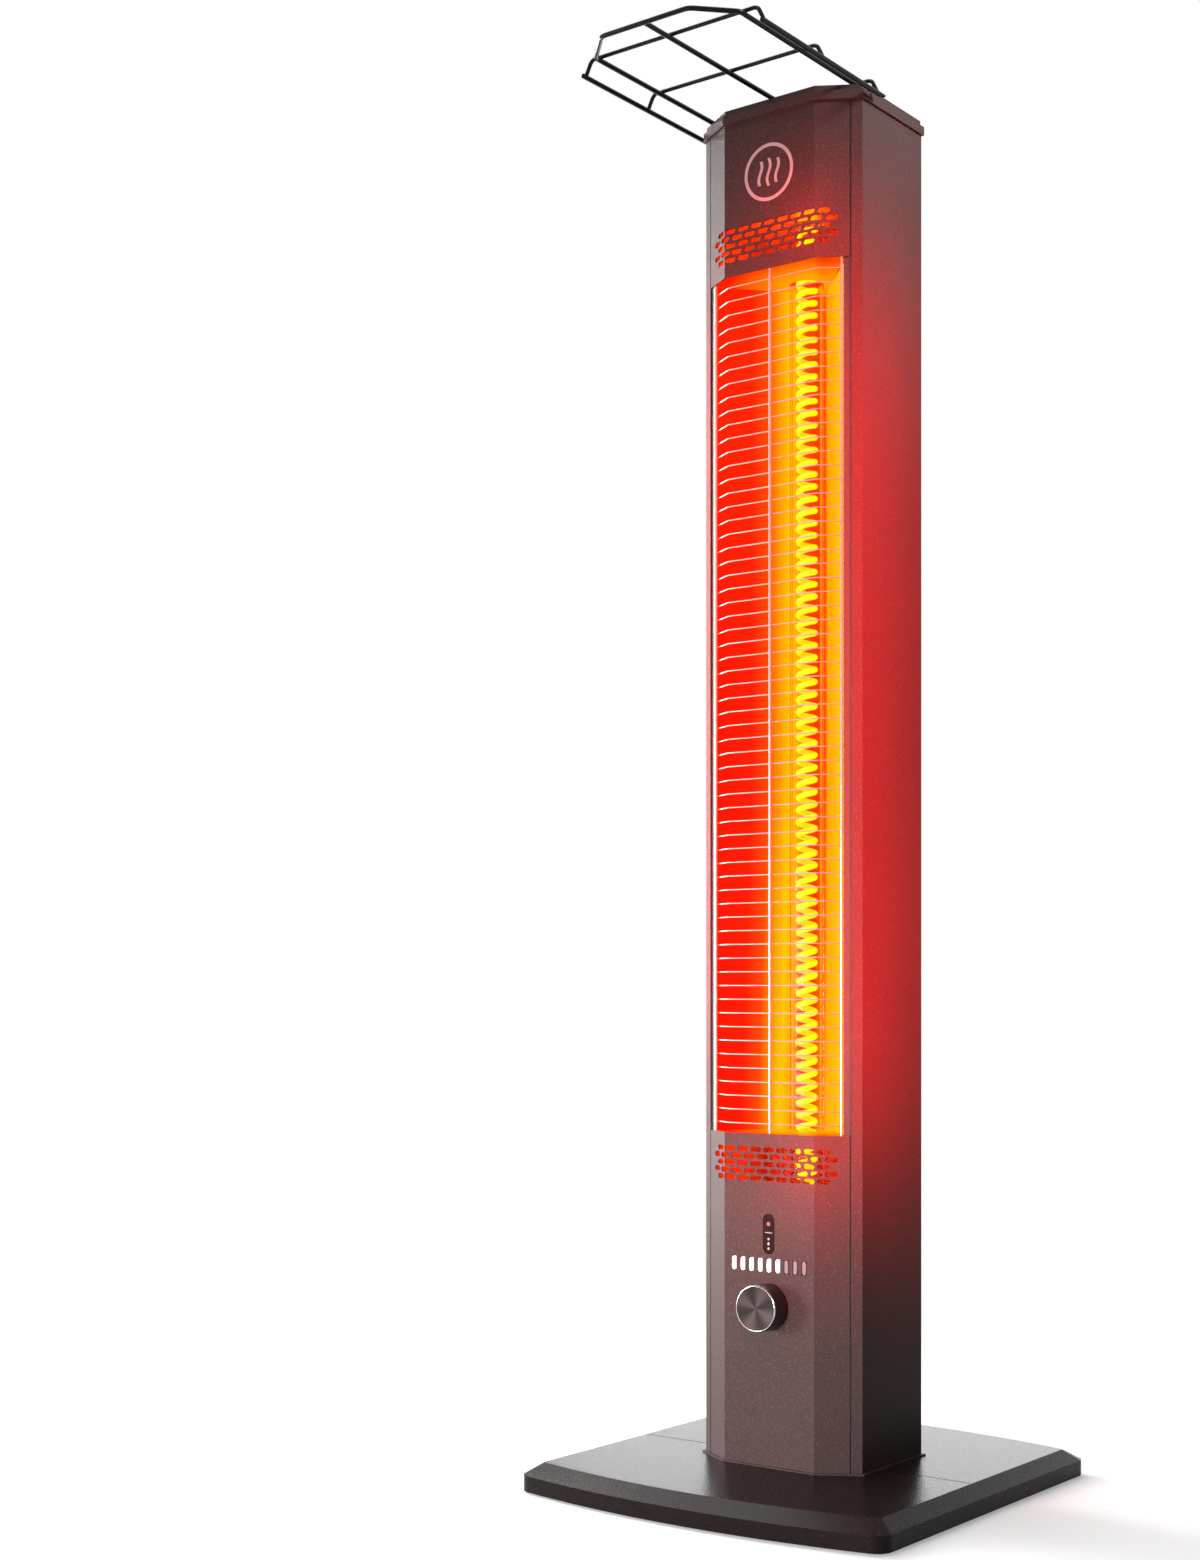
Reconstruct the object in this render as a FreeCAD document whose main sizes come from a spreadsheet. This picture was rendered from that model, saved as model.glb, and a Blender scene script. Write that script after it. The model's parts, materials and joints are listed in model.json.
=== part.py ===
"""Infrared patio heater: a faceted steel column on a two-piece weighted base, with a glowing coil in a quartz
tube behind a wire grille, a push-and-turn knob on the lower front panel and a wire rack on the cap.

Millimetres. The origin is on the floor under the middle of the column, +X to the right of someone who faces
the grille, +Y towards the back and +Z up.
"""
import FreeCAD, Part
import math
import os
from types import SimpleNamespace

import Sketcher

# Driving dimensions, written once each. The names are the aliases of the sheet's cells.
DIMENSIONS = {
    # base
    "base_width": 290.0,
    "base_corner_depth": 286.0,
    "base_bow": 16.0,
    "base_corner_radius": 12.0,
    "base_top_corner_radius": 2.0,
    "base_height": 18.5,
    "base_side_height": 11.0,
    "base_side_bevel": 11.0,
    "base_front_bevel": 14.0,
    "base_wall": 2.2,
    "base_skin": 2.0,
    "base_seam_offset": 8.5,
    "base_plate_thickness": 1.5,
    "ballast_margin": 10.0,
    "ballast_height": 14.5,
    "ballast_offset": 40.0,
    "pad_thickness": 1.5,
    "pad_inset": 12.0,
    # column
    "column_width": 128.0,
    "column_depth": 98.4,
    "column_height": 929.0,
    "front_flat_width": 73.0,
    "facet_depth": 17.3,
    "sheet": 1.2,
    "foot_trim_height": 1.0,
    "foot_trim_overhang": 2.3,
    "side_strip_width": 7.5,
    "panel_gap": 1.0,
    "rear_flange_width": 14.0,
    "joint_strip_width": 10.5,
    "joint_strip_inset": 2.0,
    # window and vents
    "lower_panel_height": 228.0,
    "upper_panel_height": 106.0,
    "vent_length": 9.4,
    "vent_width": 3.5,
    "vent_pitch": 10.7,
    "vent_row_pitch": 5.0,
    "upper_vent_rise": 21.7,
    "lower_vent_drop": 20.9,
    "vent_odd_count": 9,
    # grille
    "grille_count": 62,
    "grille_margin": 6.6,
    "grille_wire": 1.1,
    "grille_depth": 3.0,
    "grille_end_run": 5.0,
    "upright_wire": 1.8,
    "upright_edge_run": 14.0,
    # reflector and heater
    "reflector_sheet": 0.8,
    "reflector_flange_run": 4.0,
    "reflector_flange_width": 6.5,
    "reflector_apex": 25.0,
    "end_plate_thickness": 1.0,
    "end_plate_run": 13.0,
    "end_plate_setback": 6.0,
    "tube_diameter": 24.0,
    "tube_wall": 2.0,
    "tube_grip": 20.0,
    "tube_vent_gap": 8.0,
    "holder_width": 32.0,
    "holder_height": 30.0,
    "coil_diameter": 11.4,
    "coil_wire": 2.3,
    "coil_pitch": 8.6,
    "coil_tail_bend": 3.0,
    "coil_steps": 8,
    # cap
    "cap_overhang": 1.5,
    "cap_rim_height": 6.0,
    "cap_rim_width": 11.0,
    "cap_cover_inset": 0.5,
    "cap_cover_height": 4.0,
    "cap_cover_wall": 1.5,
    # rack
    "rack_wire": 3.6,
    "rack_cross_wire": 3.0,
    "rack_width": 114.0,
    "rack_front_width": 68.0,
    "rack_front_reach": 194.1,
    "rack_chamfer_depth": 23.9,
    "rack_rear_end": 8.0,
    "rack_bend": 8.0,
    "rack_rear_cross": 22.7,
    "rack_cross_pitch": 70.2,
    "rack_leg_splay": 5.1,
    "rack_leg_bend": 5.0,
    "rack_rail_clearance": 3.4,
    "rack_rail_drop": 10.2,
    "rack_rail_overrun": 2.8,
    "clamp_bar_depth": 12.0,
    "clamp_bar_thickness": 1.5,
    # controls
    "display_width": 9.3,
    "display_height": 27.7,
    "display_rise": 160.4,
    "display_lip": 1.5,
    "display_proud": 0.3,
    "lamp_count": 9,
    "lamp_pitch": 7.15,
    "lamp_width": 4.0,
    "lamp_height": 9.6,
    "lamp_rise": 138.6,
    "lamp_lip": 0.9,
    "lamp_backing": 1.2,
    "knob_rise": 110.8,
    "knob_diameter": 32.0,
    "knob_reach": 17.0,
    "knob_rim_width": 1.75,
    "knob_rim_height": 3.0,
    "knob_recess_diameter": 18.0,
    "knob_travel": 1.5,
    "shaft_diameter": 6.0,
    "bush_diameter": 7.0,
    "bush_reach": 4.8,
    "nut_across_flats": 10.0,
    "nut_height": 2.0,
    "encoder_size": 14.0,
    "encoder_depth": 10.0,
    "plunger_thickness": 1.5,
    "board_width": 60.0,
    "board_height": 86.0,
    "board_thickness": 1.6,
    # inside the foot of the column
    "bracket_depth": 40.0,
    "bracket_thickness": 3.0,
    "bracket_rise": 40.0,
    "shield_front": 28.0,
    "module_width": 70.0,
    "module_height": 60.0,
    "module_depth": 26.0,
    "module_rise": 80.0,
    "terminal_width": 40.0,
    "terminal_depth": 16.0,
    "terminal_height": 18.0,
    "terminal_ways": 4,
    "tilt_size": 14.0,
    "tilt_height": 22.0,
    "tilt_offset": 42.0,
    "gland_rise": 45.0,
    "gland_shank": 12.0,
    "gland_bore": 7.0,
    "gland_reach": 13.0,
    "gland_nut_flats": 18.0,
    "gland_nut_height": 3.5,
    "rear_vent_count": 6,
    "rear_vent_length": 60.0,
    "rear_vent_width": 4.0,
    "rear_vent_pitch": 9.0,
    "rear_vent_rise": 50.0,
    # clearances
    "seat_gap": 0.1,
    "running_gap": 0.05,
}

doc = FreeCAD.newDocument("patio_heater")


class Size:
    """A length that carries its number together with the expression that gives it."""

    def __init__(self, value, text):
        self.value = value
        self.text = text

    def __add__(self, other):
        return joined(self, "+", other)

    def __radd__(self, other):
        return joined(other, "+", self)

    def __sub__(self, other):
        return joined(self, "-", other)

    def __rsub__(self, other):
        return joined(other, "-", self)

    def __mul__(self, other):
        return joined(self, "*", other)

    def __rmul__(self, other):
        return joined(other, "*", self)

    def __truediv__(self, other):
        return joined(self, "/", other)

    def __rtruediv__(self, other):
        return joined(other, "/", self)

    def __neg__(self):
        return Size(-self.value, "(0 - %s)" % self.text)


def as_size(value):
    """Take a plain number as a size whose expression is the number itself."""
    if isinstance(value, Size):
        return value
    return Size(float(value), "(%r)" % float(value))


def joined(left, sign, right):
    """Work out both the number and the expression of a sum, difference, product or quotient."""
    left, right = as_size(left), as_size(right)
    results = {"+": left.value + right.value, "-": left.value - right.value, "*": left.value * right.value}
    value = left.value / right.value if sign == "/" else results[sign]
    return Size(value, "(%s %s %s)" % (left.text, sign, right.text))


def root(size):
    """Square root of a size."""
    return Size(math.sqrt(size.value), "sqrt(%s)" % size.text)


def make_sheet():
    """Write the driving dimensions into the sheet and return them by name."""
    sheet = doc.addObject("Spreadsheet::Sheet", "Sizes")
    for row, (alias, value) in enumerate(DIMENSIONS.items(), start=1):
        sheet.set("A%d" % row, alias.replace("_", " "))
        sheet.set("B%d" % row, repr(value))
        sheet.setAlias("B%d" % row, alias)
    doc.recompute()
    return SimpleNamespace(**{alias: Size(float(value), "Sizes." + alias)
                              for alias, value in DIMENSIONS.items()})


size = make_sheet()
nodes = []


def number(count):
    """A counted thing as a whole number."""
    return int(round(count.value))


# Levels and plan lines that several pieces share
pad_top = size.pad_thickness
base_shoulder = pad_top + size.base_side_height
base_top = pad_top + size.base_height
base_floor = pad_top + size.base_plate_thickness
base_seam = -size.base_seam_offset
panel_bottom = base_top + size.foot_trim_height
panel_top = panel_bottom + size.column_height
window_low = panel_bottom + size.lower_panel_height
window_high = panel_top - size.upper_panel_height
window_height = window_high - window_low
cap_rim_top = panel_top + size.cap_rim_height
cap_top = cap_rim_top + size.cap_cover_height
half_width = size.column_width / 2
front = -size.column_depth / 2
back = size.column_depth / 2
rear_seat = back - size.sheet
corner = front + size.facet_depth
flat_half = size.front_flat_width / 2
facet_run = half_width - flat_half
facet_length = root(facet_run * facet_run + size.facet_depth * size.facet_depth)
facet_cos = facet_run / facet_length
facet_sin = size.facet_depth / facet_length
fold_tan = facet_sin / (facet_cos + 1)
panel_inside = front + size.sheet
zero = as_size(0)


def at_fold(depth):
    """Right-hand fold between the flat front and the facet, at a depth behind the outer face."""
    return flat_half - fold_tan * depth, front + depth


def at_corner(depth):
    """Right-hand side corner of the column, at a depth behind the outer face."""
    return half_width - depth, corner + (1 - facet_sin) / facet_cos * depth


def on_facet(run, depth):
    """Point on the right-hand facet, a run from the side corner and a depth behind the outer face."""
    return half_width - facet_cos * run - facet_sin * depth, corner - facet_sin * run + facet_cos * depth


def mirrored(point):
    """The same point on the left-hand side."""
    return -point[0], point[1]


def column_outline(depth):
    """Closed plan of the whole column at a depth behind its outer face."""
    right = [(half_width - depth, back - depth), at_corner(depth), at_fold(depth)]
    return right + [mirrored(point) for point in reversed(right)]


def front_strip(run, outer, inner):
    """Plan of a sheet that follows both facets and the flat front between two depths."""
    outside = [on_facet(run, outer), at_fold(outer)]
    inside = [on_facet(run, inner), at_fold(inner)]
    outside = outside + [mirrored(point) for point in reversed(outside)]
    inside = inside + [mirrored(point) for point in reversed(inside)]
    return outside + inside[::-1]


# Sketches and features


def new_body(label):
    """Start a body and list it as a node."""
    body = doc.addObject("PartDesign::Body", label)
    body.Label = label
    nodes.append(body)
    return body


def add_sketch(body, plane, offset):
    """Attach a new sketch to one of the body's own planes, moved along that plane's normal."""
    sketch = body.newObject("Sketcher::SketchObject", "Outline")
    support = [feature for feature in body.Origin.OriginFeatures if feature.Role == plane]
    sketch.AttachmentSupport = [(support[0], "")]
    sketch.MapMode = "FlatFace"
    sketch.setExpression("AttachmentOffset.Base.z", as_size(offset).text)
    return sketch


def level_sketch(body, height):
    """Sketch that lies flat at a height."""
    return add_sketch(body, "XY_Plane", height)


def upright_sketch(body, place):
    """Sketch that faces the front at a place along Y: its axes are X and Z."""
    return add_sketch(body, "XZ_Plane", -as_size(place))


def pin(sketch, geometry, point, place):
    """Hold a point of a sketch at sizes measured from the sketch's origin."""
    for kind, along in zip(("DistanceX", "DistanceY"), place):
        along = as_size(along)
        index = sketch.addConstraint(Sketcher.Constraint(kind, -1, 1, geometry, point, along.value))
        sketch.setExpression("Constraints[%d]" % index, along.text)


def vector(place):
    """A sketch point as a vector."""
    return FreeCAD.Vector(as_size(place[0]).value, as_size(place[1]).value, 0)


def trace(sketch, corners):
    """Draw a closed outline. A corner is (x, y), or (x, y, radius) when an arc leads on from it; the arc turns
    left when the radius is positive and right when it is negative, and is under a half circle."""
    first = sketch.GeometryCount
    ends = []
    for index, place in enumerate(corners):
        start, stop = vector(place), vector(corners[(index + 1) % len(corners)])
        if len(place) == 2:
            sketch.addGeometry(Part.LineSegment(start, stop), False)
            ends.append((1, 2))
            continue
        turn = 1 if place[2].value > 0 else -1
        chord = stop - start
        reach = math.sqrt(max(place[2].value ** 2 - chord.Length ** 2 / 4, 0))
        across = FreeCAD.Vector(-chord.y, chord.x, 0).normalize()
        centre = (start + stop) * 0.5 + across * (turn * reach)
        low, high = (start, stop) if turn > 0 else (stop, start)
        angles = [math.atan2(end.y - centre.y, end.x - centre.x) for end in (low, high)]
        circle = Part.Circle(centre, FreeCAD.Vector(0, 0, 1), abs(place[2].value))
        sketch.addGeometry(Part.ArcOfCircle(circle, angles[0], angles[1]), False)
        ends.append((1, 2) if turn > 0 else (2, 1))
        radius = place[2] if turn > 0 else -place[2]
        index = sketch.addConstraint(Sketcher.Constraint("Radius", first + index, radius.value))
        sketch.setExpression("Constraints[%d]" % index, radius.text)
    for index, place in enumerate(corners):
        following = (index + 1) % len(corners)
        sketch.addConstraint(Sketcher.Constraint(
            "Coincident", first + index, ends[index][1], first + following, ends[following][0]))
        pin(sketch, first + index, ends[index][0], place[:2])


def trace_circle(sketch, place, radius):
    """Draw a circle about a place."""
    radius = as_size(radius)
    circle = Part.Circle(vector(place), FreeCAD.Vector(0, 0, 1), radius.value)
    index = sketch.addGeometry(circle, False)
    bound = sketch.addConstraint(Sketcher.Constraint("Radius", index, radius.value))
    sketch.setExpression("Constraints[%d]" % bound, radius.text)
    pin(sketch, index, 3, place)


def trace_wire(sketch, place, diameter):
    """Draw the section of a wire with eight flats, its corners on the true circle."""
    corners = []
    for index in range(8):
        angle = math.radians(45 * index + 22.5)
        corners.append((place[0] + diameter * (math.cos(angle) / 2),
                        place[1] + diameter * (math.sin(angle) / 2)))
    trace(sketch, corners)


def rectangle(left, right, low, high):
    """Corners of a rectangle."""
    return [(left, low), (right, low), (right, high), (left, high)]


def oval(width, height, middle):
    """Upright oval about x = 0: straight sides between round ends made of quarter arcs."""
    radius = width / 2
    top, foot = middle + height / 2, middle - height / 2
    return [(radius, foot + radius), (radius, top - radius, radius), (zero, top, radius),
            (-radius, top - radius), (-radius, foot + radius, radius), (zero, foot, radius)]


def pad(body, sketch, length, backwards=False):
    """Extrude a sketch along its normal, or against it."""
    feature = body.newObject("PartDesign::Pad", "Pad")
    feature.Profile = sketch
    feature.Reversed = backwards
    feature.setExpression("Length", as_size(length).text)
    doc.recompute()
    return feature


def pocket(body, sketch, length, backwards=False):
    """Cut a sketch into the body against its normal, or along it, and make sure that it cut something."""
    before = body.Shape.Volume
    feature = body.newObject("PartDesign::Pocket", "Pocket")
    feature.Profile = sketch
    feature.Reversed = backwards
    feature.setExpression("Length", as_size(length).text)
    doc.recompute()
    if body.Shape.Volume >= before:
        raise RuntimeError("%s: a pocket cut nothing" % body.Label)
    return feature


def repeat(body, feature, count, pitch, axis):
    """Repeat a feature along one of the body's axes."""
    pattern = body.newObject("PartDesign::LinearPattern", "Repeat")
    pattern.Originals = [feature]
    line = [origin for origin in body.Origin.OriginFeatures if origin.Role == axis]
    pattern.Direction = (line[0], [""])
    pattern.Mode = "Spacing"
    pattern.setExpression("Offset", as_size(pitch).text)
    pattern.setExpression("Occurrences", as_size(count).text)
    body.Tip = pattern
    doc.recompute()
    return pattern


def level_plate(label, outline, low, height):
    """Plate of a plan outline, standing up from a level."""
    body = new_body(label)
    sketch = level_sketch(body, low)
    trace(sketch, outline)
    pad(body, sketch, height)
    return body


def upright_plate(label, outline, near, depth):
    """Plate of a front outline, going back from a place along Y."""
    body = new_body(label)
    sketch = upright_sketch(body, near)
    trace(sketch, outline)
    pad(body, sketch, depth, backwards=True)
    return body


def cut_level_holes(body, level, depth, holes):
    """Cut round holes up from a level. A hole is (x, y, radius)."""
    sketch = level_sketch(body, level)
    for x, y, radius in holes:
        trace_circle(sketch, (x, y), radius)
    return pocket(body, sketch, depth, backwards=True)


def turned(label, profile, height):
    """Body turned about the Y axis at x = 0 and a height. The profile is (radius, place along Y)."""
    body = new_body(label)
    sketch = add_sketch(body, "XY_Plane", height)
    trace(sketch, profile)
    feature = body.newObject("PartDesign::Revolution", "Turn")
    feature.Profile = sketch
    feature.ReferenceAxis = (sketch, ["V_Axis"])
    feature.Angle = 360
    doc.recompute()
    return body


def bent_wire(label, plane, offset, places, bend, diameter):
    """Round wire along straight runs joined by bends of one radius."""
    body = new_body(label)
    path = add_sketch(body, plane, offset)
    points = [vector(place) for place in places]
    runs = [(after - before).normalize() for before, after in zip(points, points[1:])]
    cuts = [0.0]
    for before, after in zip(runs, runs[1:]):
        cuts.append(bend.value * math.tan(before.getAngle(after) / 2))
    cuts.append(0.0)
    marks = []
    for place in places:
        marks.append(path.addGeometry(Part.Point(vector(place)), True))
        pin(path, marks[-1], 1, place)
    lines = []
    for index, run in enumerate(runs):
        start = points[index] + run * cuts[index]
        stop = points[index + 1] - run * cuts[index + 1]
        lines.append(path.addGeometry(Part.LineSegment(start, stop), False))
        for mark in (marks[index], marks[index + 1]):
            end = {0: 1, len(marks) - 1: 2}.get(marks.index(mark))
            if end is None:
                path.addConstraint(Sketcher.Constraint("PointOnObject", mark, 1, lines[-1]))
            else:
                path.addConstraint(Sketcher.Constraint("Coincident", lines[-1], end, mark, 1))
    for index in range(len(lines) - 1):
        before, after = runs[index], runs[index + 1]
        start = points[index + 1] - before * cuts[index + 1]
        stop = points[index + 1] + after * cuts[index + 1]
        left = before.x * after.y - before.y * after.x > 0
        side = FreeCAD.Vector(-before.y, before.x, 0) * (1 if left else -1)
        centre = start + side * bend.value
        ends = (start, stop) if left else (stop, start)
        angles = [math.atan2(end.y - centre.y, end.x - centre.x) for end in ends]
        circle = Part.Circle(centre, FreeCAD.Vector(0, 0, 1), bend.value)
        arc = path.addGeometry(Part.ArcOfCircle(circle, angles[0], angles[1]), False)
        enter, leave = (1, 2) if left else (2, 1)
        path.addConstraint(Sketcher.Constraint("Tangent", lines[index], 2, arc, enter))
        path.addConstraint(Sketcher.Constraint("Tangent", arc, leave, lines[index + 1], 1))
        bound = path.addConstraint(Sketcher.Constraint("Radius", arc, bend.value))
        path.setExpression("Constraints[%d]" % bound, bend.text)
    doc.recompute()
    section = body.newObject("Sketcher::SketchObject", "Section")
    section.AttachmentSupport = [(path, "Edge1")]
    section.MapMode = "NormalToEdge"
    section.MapPathParameter = 0.0
    trace_wire(section, (zero, zero), diameter)
    doc.recompute()
    pipe = body.newObject("PartDesign::AdditivePipe", "Pipe")
    pipe.Profile = section
    pipe.Spine = (path, [])
    doc.recompute()
    return body


def rod(label, radius, height, place):
    """Upright round rod standing at a place."""
    cylinder = doc.addObject("Part::Cylinder", label)
    cylinder.setExpression("Radius", as_size(radius).text)
    cylinder.setExpression("Height", as_size(height).text)
    for axis, along in zip("xyz", place):
        cylinder.setExpression("Placement.Base." + axis, as_size(along).text)
    return cylinder


def group(label, members):
    """Separate solids that make one node."""
    compound = doc.addObject("Part::Compound", label)
    compound.Label = label
    compound.Links = members
    nodes.append(compound)
    return compound


def drilled(label, blank, tool):
    """Node made by cutting one primitive out of another."""
    cut = doc.addObject("Part::Cut", label)
    cut.Label = label
    cut.Base = blank
    cut.Tool = tool
    nodes.append(cut)
    return cut


# Base


def base_outline(inset_side, inset_front, radius, way):
    """Plan of one half of the base, drawn in by insets: bowed outer edge, round corners, straight seam.
    The way is -1 for the front half and 1 for the rear half."""
    side = size.base_width / 2 - inset_side
    ends = size.base_corner_depth / 2 - inset_front
    bow_radius = (side * side + size.base_bow * size.base_bow) / (size.base_bow * 2)
    middle = ends + size.base_bow - bow_radius
    corner_x = side - radius
    inner = bow_radius - radius
    corner_y = middle + root(inner * inner - corner_x * corner_x)
    bow_x = corner_x * bow_radius / inner
    bow_y = middle + (corner_y - middle) * bow_radius / inner
    return side, corner_y * way, bow_x, bow_y * way, bow_radius


def trace_base(sketch, inset_side, inset_front, radius, way, seam):
    """Draw one half of the base on a level sketch, up to a line along the seam."""
    side, corner_y, bow_x, bow_y, bow_radius = base_outline(inset_side, inset_front, radius, way)
    turn = radius if way < 0 else -radius
    bow = bow_radius if way < 0 else -bow_radius
    trace(sketch, [(-side, seam), (-side, corner_y, turn), (-bow_x, bow_y, bow), (bow_x, bow_y, turn),
                   (side, corner_y), (side, seam)])


def make_base_half(label, way):
    """Pressed steel half of the base: upright edge, wide bevel, top skin, seam wall and open underside."""
    body = new_body(label)
    low = level_sketch(body, pad_top)
    trace_base(low, zero, zero, size.base_corner_radius, way, base_seam)
    pad(body, low, size.base_side_height)
    shoulder = level_sketch(body, base_shoulder)
    trace_base(shoulder, zero, zero, size.base_corner_radius, way, base_seam)
    top = level_sketch(body, base_top)
    trace_base(top, size.base_side_bevel, size.base_front_bevel, size.base_top_corner_radius, way, base_seam)
    doc.recompute()
    bevel = body.newObject("PartDesign::AdditiveLoft", "Bevel")
    bevel.Profile = shoulder
    bevel.Sections = [top]
    bevel.Ruled = True
    doc.recompute()
    pocket(body, hollow_sketch(body, size.base_wall, way), size.base_side_height - size.base_wall / 2,
           backwards=True)
    recess = level_sketch(body, pad_top)
    side = size.base_width / 2 - size.base_side_bevel - size.base_wall
    far = (size.base_corner_depth / 2 - size.base_front_bevel - size.base_wall) * way
    trace(recess, rectangle(-side, side, base_seam + size.base_wall * way, far))
    pocket(body, recess, size.base_height - size.base_skin, backwards=True)
    return body


def hollow_sketch(body, inset, way):
    """Room inside the upright edge of one half of the base, drawn in by an inset."""
    sketch = level_sketch(body, pad_top)
    side = size.base_width / 2 - inset
    far = (size.base_corner_depth / 2 - inset) * way
    cut = size.base_corner_radius
    near = base_seam + inset * way
    trace(sketch, [(-side, near), (-side, far - cut * way), (cut - side, far), (side - cut, far),
                   (side, far - cut * way), (side, near)])
    return sketch


def make_base_plate(label, way):
    """Bottom plate that closes one half of the base and carries its ballast."""
    body = new_body(label)
    pad(body, hollow_sketch(body, size.base_wall + size.seat_gap, way), size.base_plate_thickness)
    return body


def make_ballast(label, way):
    """Cast-iron block on the bottom plate, under the skin and inside the bevel."""
    half = size.base_width / 2 - size.base_side_bevel - size.base_wall - size.ballast_margin
    reach = size.base_corner_depth / 2 - size.base_front_bevel - size.base_wall - size.ballast_margin
    outline = rectangle(-half, half, size.ballast_offset * way, reach * way)
    return level_plate(label, outline, base_floor, size.ballast_height)


def make_pad():
    """Foam sheet under the whole base."""
    inset = size.pad_inset
    sides = [base_outline(inset, inset, size.base_corner_radius, way) for way in (-1, 1)]
    side, front_y, front_bow_x, front_bow_y, bow_radius = sides[0]
    rear_y, rear_bow_x, rear_bow_y = sides[1][1:4]
    radius = size.base_corner_radius
    outline = [(-side, front_y, radius), (-front_bow_x, front_bow_y, bow_radius),
               (front_bow_x, front_bow_y, radius), (side, front_y), (side, rear_y, radius),
               (rear_bow_x, rear_bow_y, bow_radius), (-rear_bow_x, rear_bow_y, radius), (-side, rear_y)]
    return level_plate("base_pad", outline, zero, size.pad_thickness)


make_base_half("base_front_half", -1)
make_base_half("base_rear_half", 1)
make_base_plate("base_front_plate", -1)
make_base_plate("base_rear_plate", 1)
make_ballast("front_ballast", -1)
make_ballast("rear_ballast", 1)
make_pad()

# Column shell

level_plate("foot_trim", column_outline(-size.foot_trim_overhang), base_top, size.foot_trim_height)


def make_foot_bracket():
    """U-shaped bracket that ties the base to the side panels."""
    outer = half_width - size.sheet
    inner = outer - size.bracket_thickness
    floor = panel_bottom + size.bracket_thickness
    rise = panel_bottom + size.bracket_rise
    outline = [(-outer, panel_bottom), (outer, panel_bottom), (outer, rise), (inner, rise), (inner, floor),
               (-inner, floor), (-inner, rise), (-outer, rise)]
    return upright_plate("foot_bracket", outline, base_seam - size.bracket_depth / 2, size.bracket_depth)


make_foot_bracket()


def make_side_panel(label, way):
    """Folded side panel: a strip on the facet, the flat side and a rear flange."""
    inner = half_width - size.rear_flange_width
    outline = [on_facet(size.side_strip_width, zero), at_corner(zero), (half_width, rear_seat),
               (inner, rear_seat), (inner, rear_seat - size.sheet),
               (half_width - size.sheet, rear_seat - size.sheet),
               at_corner(size.sheet), on_facet(size.side_strip_width, size.sheet)]
    if way < 0:
        outline = [mirrored(point) for point in outline]
    return level_plate(label, outline, panel_bottom, size.column_height)


def make_joint_strip(label, way):
    """Flat strip behind the joint of a side panel and the front panels."""
    start = size.joint_strip_inset
    stop = start + size.joint_strip_width
    outline = [on_facet(start, size.sheet), on_facet(stop, size.sheet),
               on_facet(stop, size.sheet * 2), on_facet(start, size.sheet * 2)]
    if way < 0:
        outline = [mirrored(point) for point in outline]
    return level_plate(label, outline, panel_bottom, size.column_height)


for side_name, side_way in (("left", -1), ("right", 1)):
    make_side_panel(side_name + "_side_panel", side_way)
    make_joint_strip(side_name + "_joint_strip", side_way)


def make_rear_panel():
    """Flat rear panel with two banks of louvre slots and the hole for the cable gland."""
    outline = rectangle(-half_width, half_width, panel_bottom, panel_top)
    body = upright_plate("rear_panel", outline, rear_seat, size.sheet)
    reach = size.rear_vent_length / 2
    last = size.rear_vent_pitch * (number(size.rear_vent_count) - 1)
    lowest = (window_low + size.rear_vent_rise, window_high - size.rear_vent_rise - last)
    for level in lowest:
        sketch = upright_sketch(body, rear_seat)
        trace(sketch, rectangle(-reach, reach, level, level + size.rear_vent_width))
        slot = pocket(body, sketch, size.sheet)
        repeat(body, slot, size.rear_vent_count, size.rear_vent_pitch, "Z_Axis")
    sketch = upright_sketch(body, rear_seat)
    trace_circle(sketch, (zero, base_top + size.gland_rise), size.gland_shank / 2 + size.seat_gap)
    pocket(body, sketch, size.sheet)
    return body


make_rear_panel()
panel_run = size.side_strip_width + size.panel_gap


def across_panel(along):
    """Where a length along the unfolded front panel, from its middle, falls on the X axis."""
    if along.value > flat_half.value:
        return flat_half + facet_cos * (along - flat_half)
    if along.value < -flat_half.value:
        return -flat_half + facet_cos * (along + flat_half)
    return along


def blunt_slot(left, right, middle, width):
    """Level slot whose ends are rounded off with two flats each."""
    nose, half = width / 3, width / 2
    return [(left, middle), (left + nose, middle - half), (right - nose, middle - half), (right, middle),
            (right - nose, middle + half), (left + nose, middle + half)]


def cut_vents(body, middle):
    """Brick pattern of punched slots: odd and even rows take turns about a middle row."""
    odd = number(size.vent_odd_count)
    depth = size.facet_depth + size.sheet
    banks = ((odd, 3, middle - size.vent_row_pitch * 2), (odd + 1, 2, middle - size.vent_row_pitch))
    for count, rows, lowest in banks:
        sketch = upright_sketch(body, front)
        for index in range(count):
            along = size.vent_pitch * (index - (count - 1) / 2)
            left = across_panel(along - size.vent_length / 2)
            right = across_panel(along + size.vent_length / 2)
            trace(sketch, blunt_slot(left, right, lowest, size.vent_width))
        slots = pocket(body, sketch, depth)
        repeat(body, slots, rows, size.vent_row_pitch * 2, "Z_Axis")


upper_panel = level_plate("upper_front_panel", front_strip(panel_run, zero, size.sheet), window_high,
                          panel_top - window_high)
cut_vents(upper_panel, window_high + size.upper_vent_rise)
lower_panel = level_plate("lower_front_panel", front_strip(panel_run, zero, size.sheet), panel_bottom,
                          window_low - panel_bottom)
cut_vents(lower_panel, window_low - size.lower_vent_drop)

# Controls on the lower front panel

display_level = base_top + size.display_rise
lamp_level = base_top + size.lamp_rise
knob_level = base_top + size.knob_rise
lamp_lefts = [size.lamp_pitch * (index - (number(size.lamp_count) - 1) / 2) - size.lamp_width / 2
              for index in range(number(size.lamp_count))]


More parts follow.
